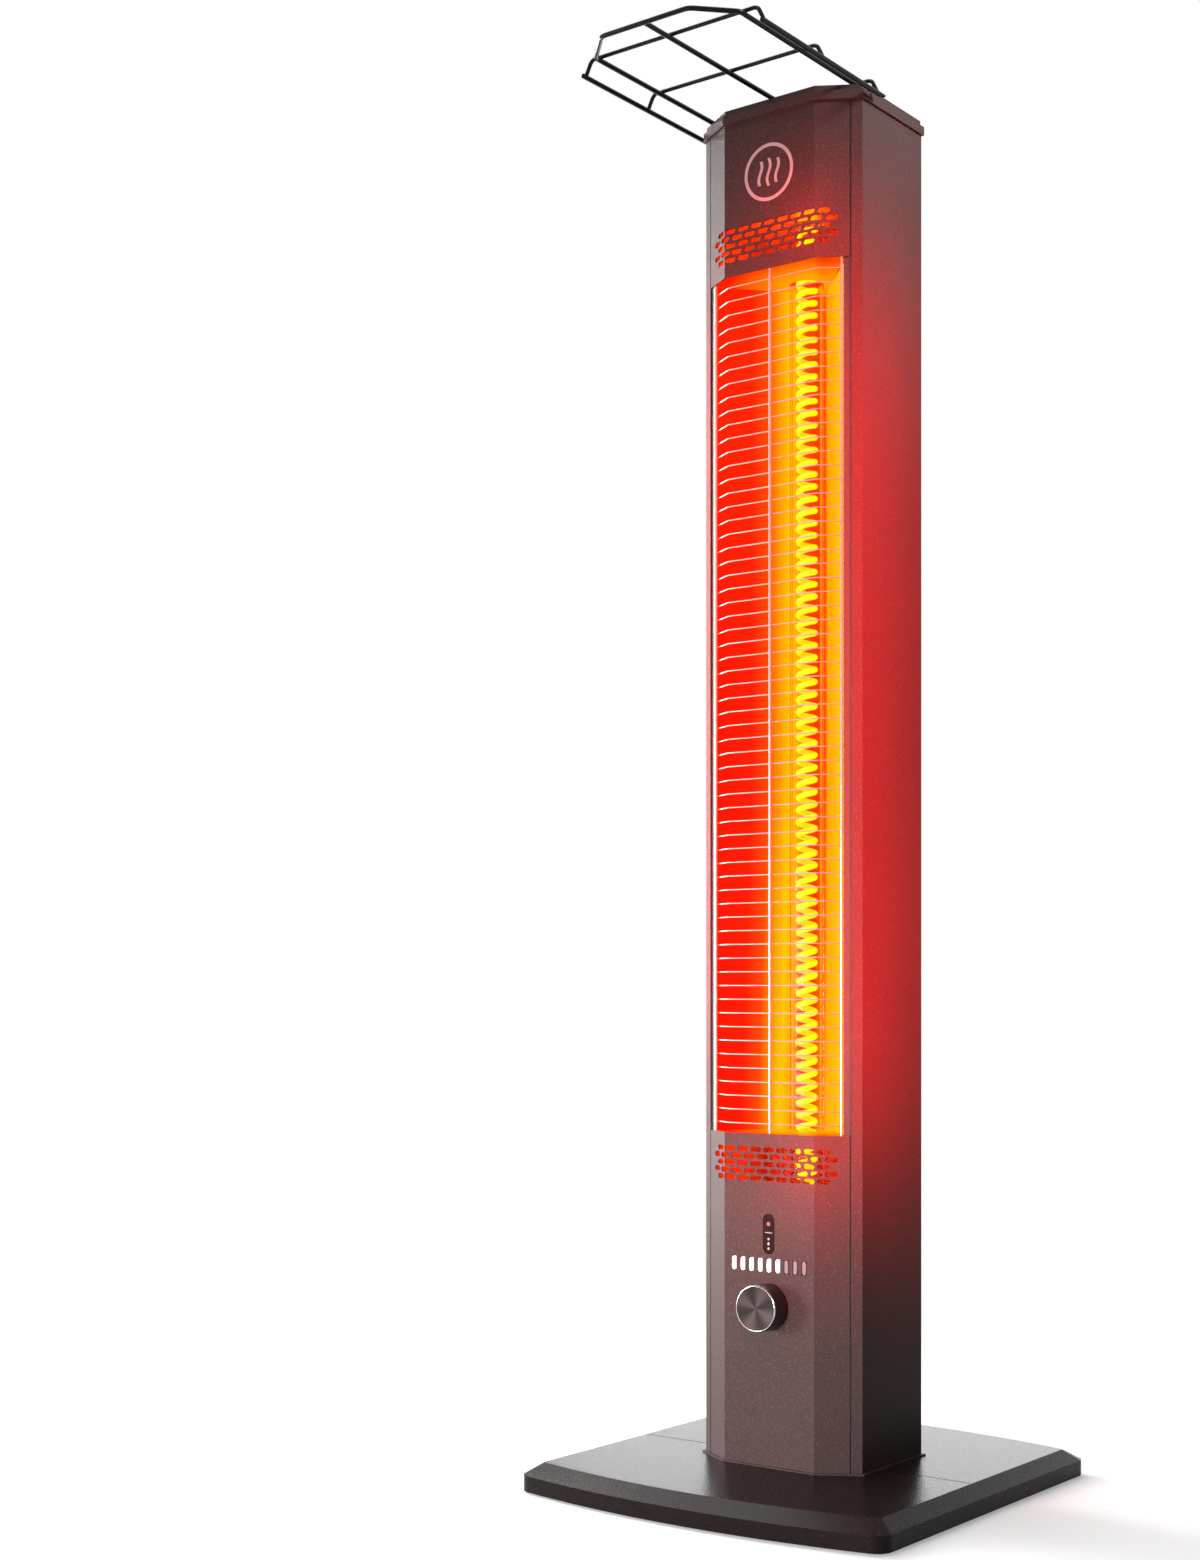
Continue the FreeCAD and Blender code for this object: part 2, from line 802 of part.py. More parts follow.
def lamp_bars(margin):
    """Outlines of the lamp windows, grown by a margin."""
    low = lamp_level - size.lamp_height / 2 - margin
    high = lamp_level + size.lamp_height / 2 + margin
    return [rectangle(left - margin, left + size.lamp_width + margin, low, high) for left in lamp_lefts]


def cut_controls(body):
    """Openings for the display, the row of lamps and the knob's bush."""
    gap = size.seat_gap
    sketch = upright_sketch(body, front)
    trace(sketch, oval(size.display_width + gap * 2, size.display_height + gap * 2, display_level))
    for outline in lamp_bars(gap):
        trace(sketch, outline)
    trace_circle(sketch, (zero, knob_level), size.bush_diameter / 2 + gap)
    pocket(body, sketch, size.sheet)


cut_controls(lower_panel)


def make_display_lens():
    """Oval lens with a lip that seats behind the panel."""
    lip = size.display_lip * 2
    flange = oval(size.display_width + lip, size.display_height + lip, display_level)
    body = upright_plate("display_lens", flange, panel_inside, size.sheet)
    sketch = upright_sketch(body, panel_inside)
    trace(sketch, oval(size.display_width, size.display_height, display_level))
    pad(body, sketch, size.sheet + size.display_proud)
    return body


def make_lamp_guide():
    """One comb of clear light guides: bars through the panel on a common backing."""
    half = size.lamp_pitch * ((number(size.lamp_count) - 1) / 2) + size.lamp_width / 2 + size.lamp_lip
    low = lamp_level - size.lamp_height / 2 - size.lamp_lip
    high = lamp_level + size.lamp_height / 2 + size.lamp_lip
    body = upright_plate("lamp_guide", rectangle(-half, half, low, high), panel_inside, size.lamp_backing)
    sketch = upright_sketch(body, panel_inside)
    for outline in lamp_bars(zero):
        trace(sketch, outline)
    pad(body, sketch, size.sheet + size.display_proud)
    return body


make_display_lens()
make_lamp_guide()

knob_face = front - size.knob_reach
rim_seat = knob_face + size.knob_rim_height
disc_face = knob_face + size.running_gap * 8
knob_rear = front - size.knob_travel - size.seat_gap * 3
bush_end = front - size.bush_reach
boss_end = bush_end - size.knob_travel * 2
knob_radius = size.knob_diameter / 2
rim_bore = knob_radius - size.knob_rim_width
shaft_radius = size.shaft_diameter / 2
encoder_back = panel_inside + size.encoder_depth
plunger_back = encoder_back - size.sheet * 1.5 - size.knob_travel
plunger_face = plunger_back - size.plunger_thickness
shaft_rear = plunger_face - size.seat_gap
shaft_front = rim_seat + size.sheet * 1.5


def make_encoder():
    """Rotary switch: square case behind the panel, bush through it, bore for the shaft and room to push."""
    half = size.encoder_size / 2
    body = upright_plate("encoder_case", rectangle(-half, half, knob_level - half, knob_level + half),
                         panel_inside, size.encoder_depth)
    bush = upright_sketch(body, panel_inside)
    trace_circle(bush, (zero, knob_level), size.bush_diameter / 2)
    pad(body, bush, panel_inside - bush_end)
    bore = upright_sketch(body, bush_end)
    trace_circle(bore, (zero, knob_level), shaft_radius + size.running_gap)
    pocket(body, bore, plunger_face - bush_end)
    chamber = upright_sketch(body, plunger_face - size.sheet)
    trace_circle(chamber, (zero, knob_level), shaft_radius * 1.5)
    pocket(body, chamber, size.sheet + size.plunger_thickness + size.knob_travel + size.seat_gap * 3)


def hexagon(flats, middle):
    """Corners of an upright hexagon about x = 0."""
    reach = flats / root(as_size(3))
    return [(reach * math.cos(math.radians(60 * index)), middle + reach * math.sin(math.radians(60 * index)))
            for index in range(6)]


def make_hex_nut(label, flats, level, near, height, bore):
    """Hexagon nut on the Y axis."""
    body = upright_plate(label, hexagon(flats, level), near, height)
    sketch = upright_sketch(body, near)
    trace_circle(sketch, (zero, level), bore)
    pocket(body, sketch, height)


def make_knob():
    """Knob of three pieces on the shaft: dark shell, bright bevelled rim and brushed face disc."""
    bore = shaft_radius + size.running_gap
    recess = size.knob_recess_diameter / 2
    blind = shaft_front - size.seat_gap
    turned("knob_shell", [
        (bore, boss_end), (bore, blind), (zero, blind), (zero, rim_seat), (knob_radius, rim_seat),
        (knob_radius, knob_rear), (recess, knob_rear), (recess, boss_end)], knob_level)
    bevel = size.knob_rim_width / 2
    turned("knob_rim", [
        (rim_bore, rim_seat), (rim_bore, knob_face), (knob_radius - bevel, knob_face),
        (knob_radius, knob_face + bevel), (knob_radius, rim_seat)], knob_level)
    disc = rim_bore - size.running_gap
    turned("knob_face_disc", [
        (zero, rim_seat), (zero, disc_face), (disc, disc_face), (disc, rim_seat)], knob_level)


make_encoder()
make_hex_nut("encoder_nut", size.nut_across_flats, knob_level, front - size.nut_height, size.nut_height,
             size.bush_diameter / 2 + size.seat_gap)
turned("encoder_plunger", [(zero, plunger_back), (zero, plunger_face), (shaft_radius * 1.4, plunger_face),
                           (shaft_radius * 1.4, plunger_back)], knob_level)
turned("encoder_shaft", [(zero, shaft_rear), (zero, shaft_front), (shaft_radius, shaft_front),
                         (shaft_radius, shaft_rear)], knob_level)
make_knob()

board_low = knob_level - size.encoder_size
board_outline = rectangle(-size.board_width / 2, size.board_width / 2, board_low, board_low + size.board_height)
control_board = upright_plate("control_board", board_outline, encoder_back, size.board_thickness)

# Grille in the window

upright_depth = size.grille_depth - size.grille_wire / 2 - size.upright_wire / 2 - size.running_gap
grille_pitch = (window_height - size.grille_margin * 2) / (number(size.grille_count) - 1)


def make_grille_wires():
    """Horizontal wires bent over both facets, each a four-sided bar with mitred folds."""
    radius = size.grille_wire / 2
    stations = [[], [], [], []]
    for index in range(4):
        angle = math.radians(90 * index)
        depth = size.grille_depth + radius * math.cos(angle)
        rise = radius * math.sin(angle)
        right = [on_facet(size.grille_end_run, depth), at_fold(depth)]
        places = right + [mirrored(point) for point in reversed(right)]
        for station, (x, y) in zip(stations, places):
            station.append(FreeCAD.Vector(x.value, y.value, rise.value))
    sections = [Part.makePolygon(station + station[:1]) for station in stations]
    wire = Part.makeLoft(sections, True, True)
    first = window_low + size.grille_margin
    levels = [(first + grille_pitch * index).value for index in range(number(size.grille_count))]
    feature = doc.addObject("Part::Feature", "grille_wires")
    feature.Label = "grille_wires"
    feature.Shape = Part.makeCompound([wire.translated(FreeCAD.Vector(0, 0, level)) for level in levels])
    nodes.append(feature)


make_grille_wires()
edge_upright = on_facet(size.upright_edge_run, upright_depth)
upright_places = [mirrored(edge_upright), (zero, front + upright_depth), edge_upright]
group("grille_uprights", [
    rod("Upright_%d" % index, size.upright_wire / 2, window_height - size.seat_gap * 2,
        (x, y, window_low + size.seat_gap)) for index, (x, y) in enumerate(upright_places)])

# Reflector, end plates and heater


def make_reflector():
    """Folded V trough behind the grille, with a flange along each window edge."""
    face = size.grille_depth + size.grille_wire / 2 + size.running_gap
    rear = face + size.reflector_sheet
    start = size.reflector_flange_run
    bend = on_facet(start + size.reflector_flange_width, face)
    apex = size.reflector_apex
    run_y = apex - bend[1]
    length = root(bend[0] * bend[0] + run_y * run_y)
    normal_x, normal_y = run_y / length, bend[0] / length
    behind = on_facet(zero, rear)
    offset = normal_x * behind[0] + normal_y * behind[1] - normal_y * apex - size.reflector_sheet
    bend_run = offset / (normal_x * facet_cos + normal_y * facet_sin)
    near = [on_facet(start, face), bend]
    far = [on_facet(start, rear), on_facet(bend_run, rear)]
    outline = near + [(zero, apex)] + [mirrored(point) for point in reversed(near)]
    outline += [mirrored(point) for point in far] + [(zero, apex + size.reflector_sheet / normal_y)] + far[::-1]
    return level_plate("reflector", outline, window_low, window_height)


def make_end_plate(label, low):
    """Plate across one end of the trough, with a hole for the quartz tube."""
    edge = size.sheet + size.seat_gap
    run = size.end_plate_run
    right = [on_facet(run, size.end_plate_setback), on_facet(run, edge), at_fold(edge)]
    tail = size.reflector_apex + size.reflector_sheet * 3
    outline = [(zero, tail)] + right + [mirrored(point) for point in reversed(right)]
    body = level_plate(label, outline, low, size.end_plate_thickness)
    cut_level_holes(body, low, size.end_plate_thickness, [(zero, zero, tube_radius + size.seat_gap * 3)])
    return body


tube_radius = size.tube_diameter / 2
upper_plate_low = window_high
lower_plate_low = window_low - size.end_plate_thickness
vent_half = size.vent_row_pitch * 2 + size.vent_width / 2
carrier_low = window_high + size.upper_vent_rise + vent_half + size.tube_vent_gap
carrier_top = carrier_low + size.sheet
shield_top = window_low - size.lower_vent_drop - vent_half - size.tube_vent_gap
shield_low = shield_top - size.sheet
tube_low = shield_low - size.tube_grip
tube_high = carrier_top + size.tube_grip
inside_half = half_width - size.sheet


def make_tube_carrier(label, low):
    """Level plate between the side panels and the rear flanges, with a hole for the quartz tube."""
    outline = rectangle(-inside_half, inside_half, -size.shield_front, rear_seat - size.sheet)
    body = level_plate(label, outline, low, size.sheet)
    cut_level_holes(body, low, size.sheet, [(zero, zero, tube_radius + size.seat_gap * 3)])


make_reflector()
make_end_plate("upper_end_plate", upper_plate_low)
make_end_plate("lower_end_plate", lower_plate_low)
make_tube_carrier("tube_carrier", carrier_low)
make_tube_carrier("heat_shield", shield_low)
drilled("quartz_tube", rod("Tube_outside", tube_radius, tube_high - tube_low, (zero, zero, tube_low)),
        rod("Tube_bore", tube_radius - size.tube_wall, tube_high - tube_low, (zero, zero, tube_low)))


def make_holder(label, seat, way):
    """Ceramic block on its carrier that holds one end of the quartz tube."""
    depth = size.tube_grip + size.seat_gap
    low = seat if way > 0 else seat - size.holder_height
    block = doc.addObject("Part::Box", label + "_blank")
    sides = (("Length", size.holder_width), ("Width", size.holder_width), ("Height", size.holder_height))
    for side, length in sides:
        block.setExpression(side, length.text)
    for axis, along in zip("xyz", (-size.holder_width / 2, -size.holder_width / 2, low)):
        block.setExpression("Placement.Base." + axis, along.text)
    bore_low = seat if way > 0 else seat - depth
    drilled(label, block, rod(label + "_bore", tube_radius + size.seat_gap, depth, (zero, zero, bore_low)))


make_holder("upper_tube_holder", carrier_top, 1)
make_holder("lower_tube_holder", shield_low, -1)


def make_coil():
    """Glowing element: one unbroken wire, lofted through four-sided sections, with two straight tails."""
    radius, pitch = size.coil_diameter.value / 2, size.coil_pitch.value
    bend, wire = size.coil_tail_bend.value, size.coil_wire.value
    steps = number(size.coil_steps)
    turns = math.floor((carrier_low.value - shield_top.value - 2 * bend) / pitch * 2) / 2
    slope = math.atan2(pitch, 2 * math.pi * radius)
    low = (tube_low.value + tube_high.value - turns * pitch) / 2
    up = FreeCAD.Vector(0, 0, 1)

    def spot(angle):
        height = low + pitch * angle / math.tau
        return FreeCAD.Vector(radius * math.cos(angle), radius * math.sin(angle), height)

    def section(middle, angle, lean):
        """Square across the wire, where the wire climbs at a lean to the level."""
        out = FreeCAD.Vector(math.cos(angle), math.sin(angle), 0)
        along = up.cross(out)
        over = up * math.cos(lean) - along * math.sin(lean)
        corners = [middle + (out * x + over * y) * (wire / 2) for x, y in ((-1, -1), (1, -1), (1, 1), (-1, 1))]
        return Part.makePolygon(corners + corners[:1])

    def tail(angle, way, end):
        """Sections of a tail: two round the bend and one at the tube's end."""
        along = up.cross(FreeCAD.Vector(math.cos(angle), math.sin(angle), 0))
        places = []
        for lean in (math.pi / 4, math.pi / 2):
            ahead = along * (math.sin(lean) - math.sin(slope)) + up * (math.cos(slope) - math.cos(lean))
            places.append((spot(angle) + ahead * (bend * way), lean))
        knee = places[-1][0]
        places.append((FreeCAD.Vector(knee.x, knee.y, end), math.pi / 2))
        return [section(middle, angle, lean) for middle, lean in places]

    last = math.tau * turns
    sections = tail(0.0, -1, tube_low.value)[::-1]
    sections += [section(spot(math.tau * step / steps), math.tau * step / steps, 0.0)
                 for step in range(int(turns * steps) + 1)]
    sections += tail(last, 1, tube_high.value)
    feature = doc.addObject("Part::Feature", "heating_coil")
    feature.Label = "heating_coil"
    feature.Shape = Part.makeLoft(sections, True, True)
    nodes.append(feature)
    points = [spot(math.pi * step / 12) for step in range(int(turns * 24) + 1)]
    gap = min((points[step + offset] - points[step]).Length for offset in range(18, 31)
              for step in range(len(points) - offset)) - wire * math.sqrt(2)
    print("heating coil: %.1f turns, volume %.1f, valid %s, least gap to itself %.2f mm"
          % (turns, feature.Shape.Volume, feature.Shape.isValid(), gap))


make_coil()

# Foot of the column: what drives the heater

module_low = base_top + size.module_rise
upright_plate("power_module", rectangle(-size.module_width / 2, size.module_width / 2, module_low,
                                        module_low + size.module_height), rear_seat - size.module_depth,
              size.module_depth)


def make_terminal_block():
    """Terminal block on the foot bracket, with a row of wire entries through it."""
    floor = panel_bottom + size.bracket_thickness
    half = size.terminal_width / 2
    near = base_seam
    body = upright_plate("terminal_block", rectangle(-half, half, floor, floor + size.terminal_height), near,
                         size.terminal_depth)
    ways = number(size.terminal_ways)
    pitch = size.terminal_width / ways
    sketch = upright_sketch(body, near)
    middle = floor + size.terminal_height / 2
    trace(sketch, rectangle(pitch / 4 - half, pitch * 0.75 - half, middle - pitch / 4, middle + pitch / 4))
    entry = pocket(body, sketch, size.terminal_depth)
    repeat(body, entry, ways, pitch, "X_Axis")


def make_tilt_switch():
    """Switch on the foot bracket that cuts the heater off if it falls over."""
    floor = panel_bottom + size.bracket_thickness
    half = size.tilt_size / 2
    left = -size.tilt_offset - half
    near = base_seam
    outline = rectangle(left, left + size.tilt_size, floor, floor + size.tilt_height)
    upright_plate("tilt_switch", outline, near - half, size.tilt_size)


def make_gland():
    """Cable gland through the rear panel: hexagon flange and nose outside, shank inside, open bore."""
    level = base_top + size.gland_rise
    shank = size.gland_shank / 2
    flange = size.gland_reach / 3
    body = upright_plate("cable_gland", hexagon(size.gland_nut_flats, level), back, flange)
    nose = upright_sketch(body, back + flange)
    trace_circle(nose, (zero, level), shank)
    pad(body, nose, size.gland_reach - flange, backwards=True)
    tail = upright_sketch(body, back)
    trace_circle(tail, (zero, level), shank)
    pad(body, tail, size.sheet * 2 + size.gland_nut_height)
    bore = upright_sketch(body, rear_seat - size.gland_nut_height - size.sheet)
    trace_circle(bore, (zero, level), size.gland_bore / 2)
    pocket(body, bore, size.sheet * 2 + size.gland_nut_height + size.gland_reach)
    make_hex_nut("gland_nut", size.gland_nut_flats, level, rear_seat - size.gland_nut_height,
                 size.gland_nut_height, shank + size.seat_gap)


make_terminal_block()
make_tilt_switch()
make_gland()

# Cap


def make_cap():
    """Two tiers: a rim frame on the panels and a shallow pan on the rim."""
    rim = level_plate("cap_rim", column_outline(-size.cap_overhang), panel_top, size.cap_rim_height)
    sketch = level_sketch(rim, panel_top)
    trace(sketch, column_outline(size.cap_rim_width - size.cap_overhang))
    pocket(rim, sketch, size.cap_rim_height, backwards=True)
    cover = level_plate("cap_cover", column_outline(size.cap_cover_inset), cap_rim_top, size.cap_cover_height)
    hollow = level_sketch(cover, cap_rim_top)
    trace(hollow, column_outline(size.cap_cover_inset + size.cap_cover_wall))
    pocket(cover, hollow, size.cap_cover_height - size.cap_cover_wall, backwards=True)


clamp_rear = size.rack_rear_end - size.rack_cross_wire
make_cap()

# Rack of welded wires on the cap

rack_level = cap_top + size.rack_wire / 2
cross_level = cap_top + size.rack_wire + size.rack_cross_wire / 2
rail_level = cross_level - size.rack_rail_drop
rack_half = size.rack_width / 2
rack_front_half = size.rack_front_width / 2
rack_front = -size.rack_front_reach
rack_shoulder = rack_front + size.rack_chamfer_depth
rail_x = half_width + size.cap_overhang + size.rack_rail_clearance + size.rack_wire / 2
cross_places = [-size.rack_rear_cross - size.rack_cross_pitch * step for step in (2, 1, 0)]

bent_wire("rack_outline", "XY_Plane", rack_level, [
    (-rack_half, size.rack_rear_end), (-rack_half, rack_shoulder), (-rack_front_half, rack_front),
    (rack_front_half, rack_front), (rack_half, rack_shoulder), (rack_half, size.rack_rear_end)],
    size.rack_bend, size.rack_wire)


def straight_wire(label, x, level, near, far):
    """Straight wire along Y."""
    body = new_body(label)
    sketch = upright_sketch(body, near)
    trace_wire(sketch, (x, level), size.rack_wire)
    pad(body, sketch, far - near, backwards=True)


straight_wire("rack_centre_wire", zero, rack_level, rack_front + size.rack_wire / 2, size.rack_rear_end)


def make_cross_wire(label, place):
    """Cross wire that lies on the long wires and bends down at both ends to stand on the side rails."""
    splay = size.rack_leg_splay
    knee = rail_x - splay
    length = root(splay * splay + size.rack_rail_drop * size.rack_rail_drop)
    share = (length - size.rack_wire / 2) / length
    foot = (knee + splay * share, cross_level - size.rack_rail_drop * share)
    places = [mirrored(foot), (-knee, cross_level), (knee, cross_level), foot]
    bent_wire(label, "XZ_Plane", -place, places, size.rack_leg_bend, size.rack_cross_wire)


for cross_name, cross_place in zip(("front", "middle", "rear"), cross_places):
    make_cross_wire("rack_%s_cross_wire" % cross_name, cross_place)
for side_name, side_way in (("left", -1), ("right", 1)):
    straight_wire("rack_%s_rail" % side_name, rail_x * side_way, rail_level,
                  cross_places[0] - size.rack_rail_overrun, cross_places[2] + size.rack_rail_overrun)

clamp_low = cap_top + size.rack_wire
clamp_half = rack_half + size.rack_wire
level_plate("rack_clamp_bar", rectangle(-clamp_half, clamp_half, clamp_rear - size.clamp_bar_depth, clamp_rear),
            clamp_low, size.clamp_bar_thickness)

# Check every object, then write one file per node

doc.recompute()
for item in doc.Objects:
    if "Invalid" in item.State or "Error" in item.State:
        raise RuntimeError("%s failed: %s" % (item.Label, item.State))
os.makedirs("parts", exist_ok=True)
for node in nodes:
    if node.Shape.isNull() or not node.Shape.isValid() or not node.Shape.Solids:
        raise RuntimeError("%s has no valid solid" % node.Label)
for node in nodes:
    node.Shape.exportStep("parts/%s.step" % node.Label)
print("%d nodes written" % len(nodes))
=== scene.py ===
"""Looks of the infrared patio heater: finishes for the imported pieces, the wound coil in its quartz tube, the
knob, lamps, display and ring sign, small screws, and a plain studio with the camera of the photograph.
Metres throughout."""
import json
import math

import bpy
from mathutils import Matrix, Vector


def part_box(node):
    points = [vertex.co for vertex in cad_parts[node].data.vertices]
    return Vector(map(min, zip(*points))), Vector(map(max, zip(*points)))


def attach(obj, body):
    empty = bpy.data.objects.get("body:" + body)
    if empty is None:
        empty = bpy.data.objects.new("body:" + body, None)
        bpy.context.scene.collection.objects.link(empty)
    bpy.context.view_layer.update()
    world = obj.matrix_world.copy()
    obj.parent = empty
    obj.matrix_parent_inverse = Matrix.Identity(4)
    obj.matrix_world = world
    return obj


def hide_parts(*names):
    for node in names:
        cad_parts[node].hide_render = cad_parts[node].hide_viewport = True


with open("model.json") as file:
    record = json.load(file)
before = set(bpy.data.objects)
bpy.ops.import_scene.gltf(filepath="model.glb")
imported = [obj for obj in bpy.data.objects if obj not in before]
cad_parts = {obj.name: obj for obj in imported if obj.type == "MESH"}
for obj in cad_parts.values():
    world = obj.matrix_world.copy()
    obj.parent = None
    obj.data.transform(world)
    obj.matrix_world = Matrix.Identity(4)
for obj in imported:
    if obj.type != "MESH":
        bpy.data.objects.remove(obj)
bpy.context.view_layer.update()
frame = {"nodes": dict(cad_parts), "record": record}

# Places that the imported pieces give
PANEL_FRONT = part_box("lower_front_panel")[0][1]
PANEL_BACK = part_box("rear_panel")[1][1]
WINDOW_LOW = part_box("reflector")[0][2]
WINDOW_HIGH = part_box("reflector")[1][2]
KNOB_LOW, KNOB_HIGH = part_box("knob_shell")
KNOB_LEVEL = (KNOB_LOW[2] + KNOB_HIGH[2]) / 2
KNOB_RADIUS = (KNOB_HIGH[0] - KNOB_LOW[0]) / 2
KNOB_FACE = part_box("knob_rim")[0][1]
TUBE_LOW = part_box("quartz_tube")[0][2]
TUBE_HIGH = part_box("quartz_tube")[1][2]

# Coil and tube
COIL_RADIUS = 0.0057
COIL_STRAND = 0.0043
COIL_PITCH = 0.0086
COIL_TURNS = 78
COIL_BEND = 0.003
COIL_SIDES = 10
COIL_STEPS = 20
TAIL_STEPS = 4
TAIL_MARGIN = 1.05
TUBE_SIDES = 64
TUBE_WALL = 0.002

# Painted glow on the trough, a painted reflection of the coil's light, from left to right; it leans to the
# left low down and turns orange high up
TROUGH_GLOW = [
    (0.0, (0.7, 0.0, 0.0)), (1.0, (1.0, 0.4, 0.0)), (0.16, (1.0, 0.003, 0.0)), (0.235, (1.0, 0.06, 0.0)),
    (0.28, (1.0, 0.28, 0.0)), (0.335, (1.0, 0.6, 0.0)), (0.375, (1.0, 0.42, 0.0)), (0.41, (0.95, 0.06, 0.0)),
    (0.48, (0.85, 0.02, 0.0)), (0.52, (1.0, 0.14, 0.0)), (0.56, (1.0, 0.4, 0.0)), (0.82, (1.0, 0.52, 0.0))]
TROUGH_REACH = 0.053
LEAN_LEVEL = 0.5
LEAN_SHARE = 0.05
ORANGE_LEVEL = 0.55
ORANGE_SHARE = 0.07
# Painted glow of the coil's light on the end plates, from the tube outwards
PLATE_GLOW = [
    (0.0, (1.0, 0.45, 0.0)), (1.0, (0.7, 0.01, 0.0)), (0.35, (1.0, 0.3, 0.0)), (0.7, (1.0, 0.14, 0.0))]
PLATE_REACH = 0.055
# Glow of the wire from the coil's inside outwards, with painted shade making the inner side deeper orange
WIRE_GLOW = [
    (0.0, (1.0, 0.6, 0.0)), (1.0, (1.0, 0.95, 0.0)), (0.4, (1.0, 0.78, 0.0)), (0.7, (1.0, 0.92, 0.0))]

# Knob rings, each the inset from the knob's radius and the depth before its back or behind its face
KNOB_SIDES = 96
KNOB_BACK_RINGS = [(0.0012, 0.0), (0.0003, 0.0004), (0.0, 0.0012)]
KNOB_FRONT_RINGS = [(0.0, 0.0014), (0.0004, 0.001)]
RIM_RINGS = [(0.0004, 0.001), (0.0001, 0.0008), (0.0001, 0.0005), (0.0003, 0.0001),
             (0.0005, 0.0), (0.0008, 0.0), (0.001, 0.0002), (0.001, 0.0009)]
FACE_RINGS = [(0.0011, 0.0009), (0.0011, 0.0007), (0.0014, 0.0004)]
# Rings of the face's dish, each a radius and the depth behind the face
FACE_INSET = 0.001
FACE_RADIUS = KNOB_RADIUS - FACE_INSET
FACE_DISH = [(FACE_RADIUS * 0.6, 0.00055), (FACE_RADIUS * 0.3, 0.00062), (0.0004, 0.00065)]

# Lamps, display and sign
BAR_SIDES = 32
LAMP_COUNT = 9
LIT_LAMPS = 6
LAMP_PITCH = 0.00715
LAMP_LEVEL = 0.1586
LAMP_SIZE = (0.0031, 0.0093)
LAMP_EASE = 0.0003
DISPLAY_LEVEL = 0.1804
DISPLAY_SIZE = (0.0093, 0.0277)
DISPLAY_EASE = 0.0005
POINT_RISE = 0.0068
POINT_SIZE = (0.0028, 0.0029)
POINT_DEPTH = 0.00008
POINT_EASE = 0.00004
MARKS = [(-0.0035, (0.0016, 0.0017)), (-0.0068, (0.0016, 0.0022)), (-0.0101, (0.0016, 0.0017))]
MARK_EASE = 0.00002
DIVIDER_RISE = 0.0008
DIVIDER_SIZE = (0.0005, 0.0006)
DIVIDER_STRETCH = 13.0
SIGN_LEVEL = 0.9098
SIGN_RADIUS = 0.01975
SIGN_STROKE = 0.0024
SIGN_LIFT = 0.00002
SIGN_SIDES = 96
WAVE_STEPS = 24
WAVE_WIDTH = 0.0022
WAVE_PITCH = 0.0068
WAVE_SWING = 0.0013
WAVE_LENGTH = 0.019
SIDE_WAVE_LENGTH = 0.0165
PRINT_DEPTH = 0.00006

# Wires of the grille and the rack
GRILLE_COUNT = 62
GRILLE_RADIUS = 0.00045
GRILLE_SOLID_RADIUS = 0.00055
GRILLE_FOLD = (0.03563, -0.0462)
GRILLE_BEND = 0.002
GRILLE_SIDES = 8
RACK_FRONT_HALF = 0.034
RACK_SHOULDER = -0.1702
RACK_BEND = 0.008
LEG_SPLAY = 0.0051
LEG_BEND = 0.005
BEND_STEP = 12
BEND_STEPS_LEAST = 3

# Screws and the base's seam
SCREW_SIDES = 24
REAR_SCREW_SPREAD = 0.057
REAR_SCREW_LEVELS = (0.05, 0.33, 0.62, 0.92)
REAR_SCREW_RADIUS = 0.0034
CLAMP_SCREW_SPREAD = 0.028
CLAMP_SCREW_RADIUS = 0.0042
CLAMP_SCREW_CROWN = 0.45
SCREW_STEPS = [(1.0, 0.35), (0.9, 0.2), (0.72, 0.12)]
RECESS_INSET = 0.3
RECESS_DEPTH = 0.2
SEAM_INSET = 0.0125
SEAM_WIDTH = 0.0007
SEAM_HEIGHT = 0.00004

# Shared limits for selecting by place and for merging
HAIR = 1e-5
MERGE = 1e-6


# Working on one piece at a time


def deselect():
    """Clear the selection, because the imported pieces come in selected."""
    bpy.ops.object.select_all(action="DESELECT")


def take(piece):
    """Select one piece alone and make it active."""
    deselect()
    piece.select_set(True)
    bpy.context.view_layer.objects.active = piece


def named(name):
    """Name the piece that an operator has just added and fix its place in its mesh."""
    piece = bpy.context.object
    piece.name = name
    piece.data.name = name
    bpy.ops.object.transform_apply(location=True, rotation=True, scale=True)
    return piece


def edit_all():
    """Go to edit mode with everything of the active piece selected."""
    bpy.ops.object.mode_set(mode="EDIT")
    bpy.ops.mesh.select_all(action="SELECT")


def draw_out(x, y, z):
    """Extrude what is selected by a distance along each axis."""
    bpy.ops.mesh.extrude_region_move(TRANSFORM_OT_translate={"value": (x, y, z)})


def pick(piece, test):
    """In edit mode, select the vertices that pass a test, with the edges and faces between them."""
    bpy.ops.object.mode_set(mode="OBJECT")
    for part in (piece.data.vertices, piece.data.edges, piece.data.polygons):
        part.foreach_set("select", [False] * len(part))
    for vertex in piece.data.vertices:
        vertex.select = test(vertex.co)
    bpy.ops.object.mode_set(mode="EDIT")
    bpy.ops.mesh.select_mode(type="VERT")


def close_edit(piece, angle=35):
    """Merge, point the faces outwards, go back to object mode and shade."""
    bpy.ops.mesh.select_all(action="SELECT")
    bpy.ops.mesh.remove_doubles(threshold=MERGE)
    bpy.ops.mesh.normals_make_consistent(inside=False)
    bpy.ops.object.mode_set(mode="OBJECT")
    take(piece)
    bpy.ops.object.shade_smooth_by_angle(angle=math.radians(angle))
    return piece


def with_copies(piece, moves):
    """The piece and one moved copy of it for each move, each with its own mesh."""
    pieces = [piece]
    for move in moves:
        take(piece)
        bpy.ops.object.duplicate()
        bpy.context.object.location = move
        pieces.append(bpy.context.object)
    return pieces


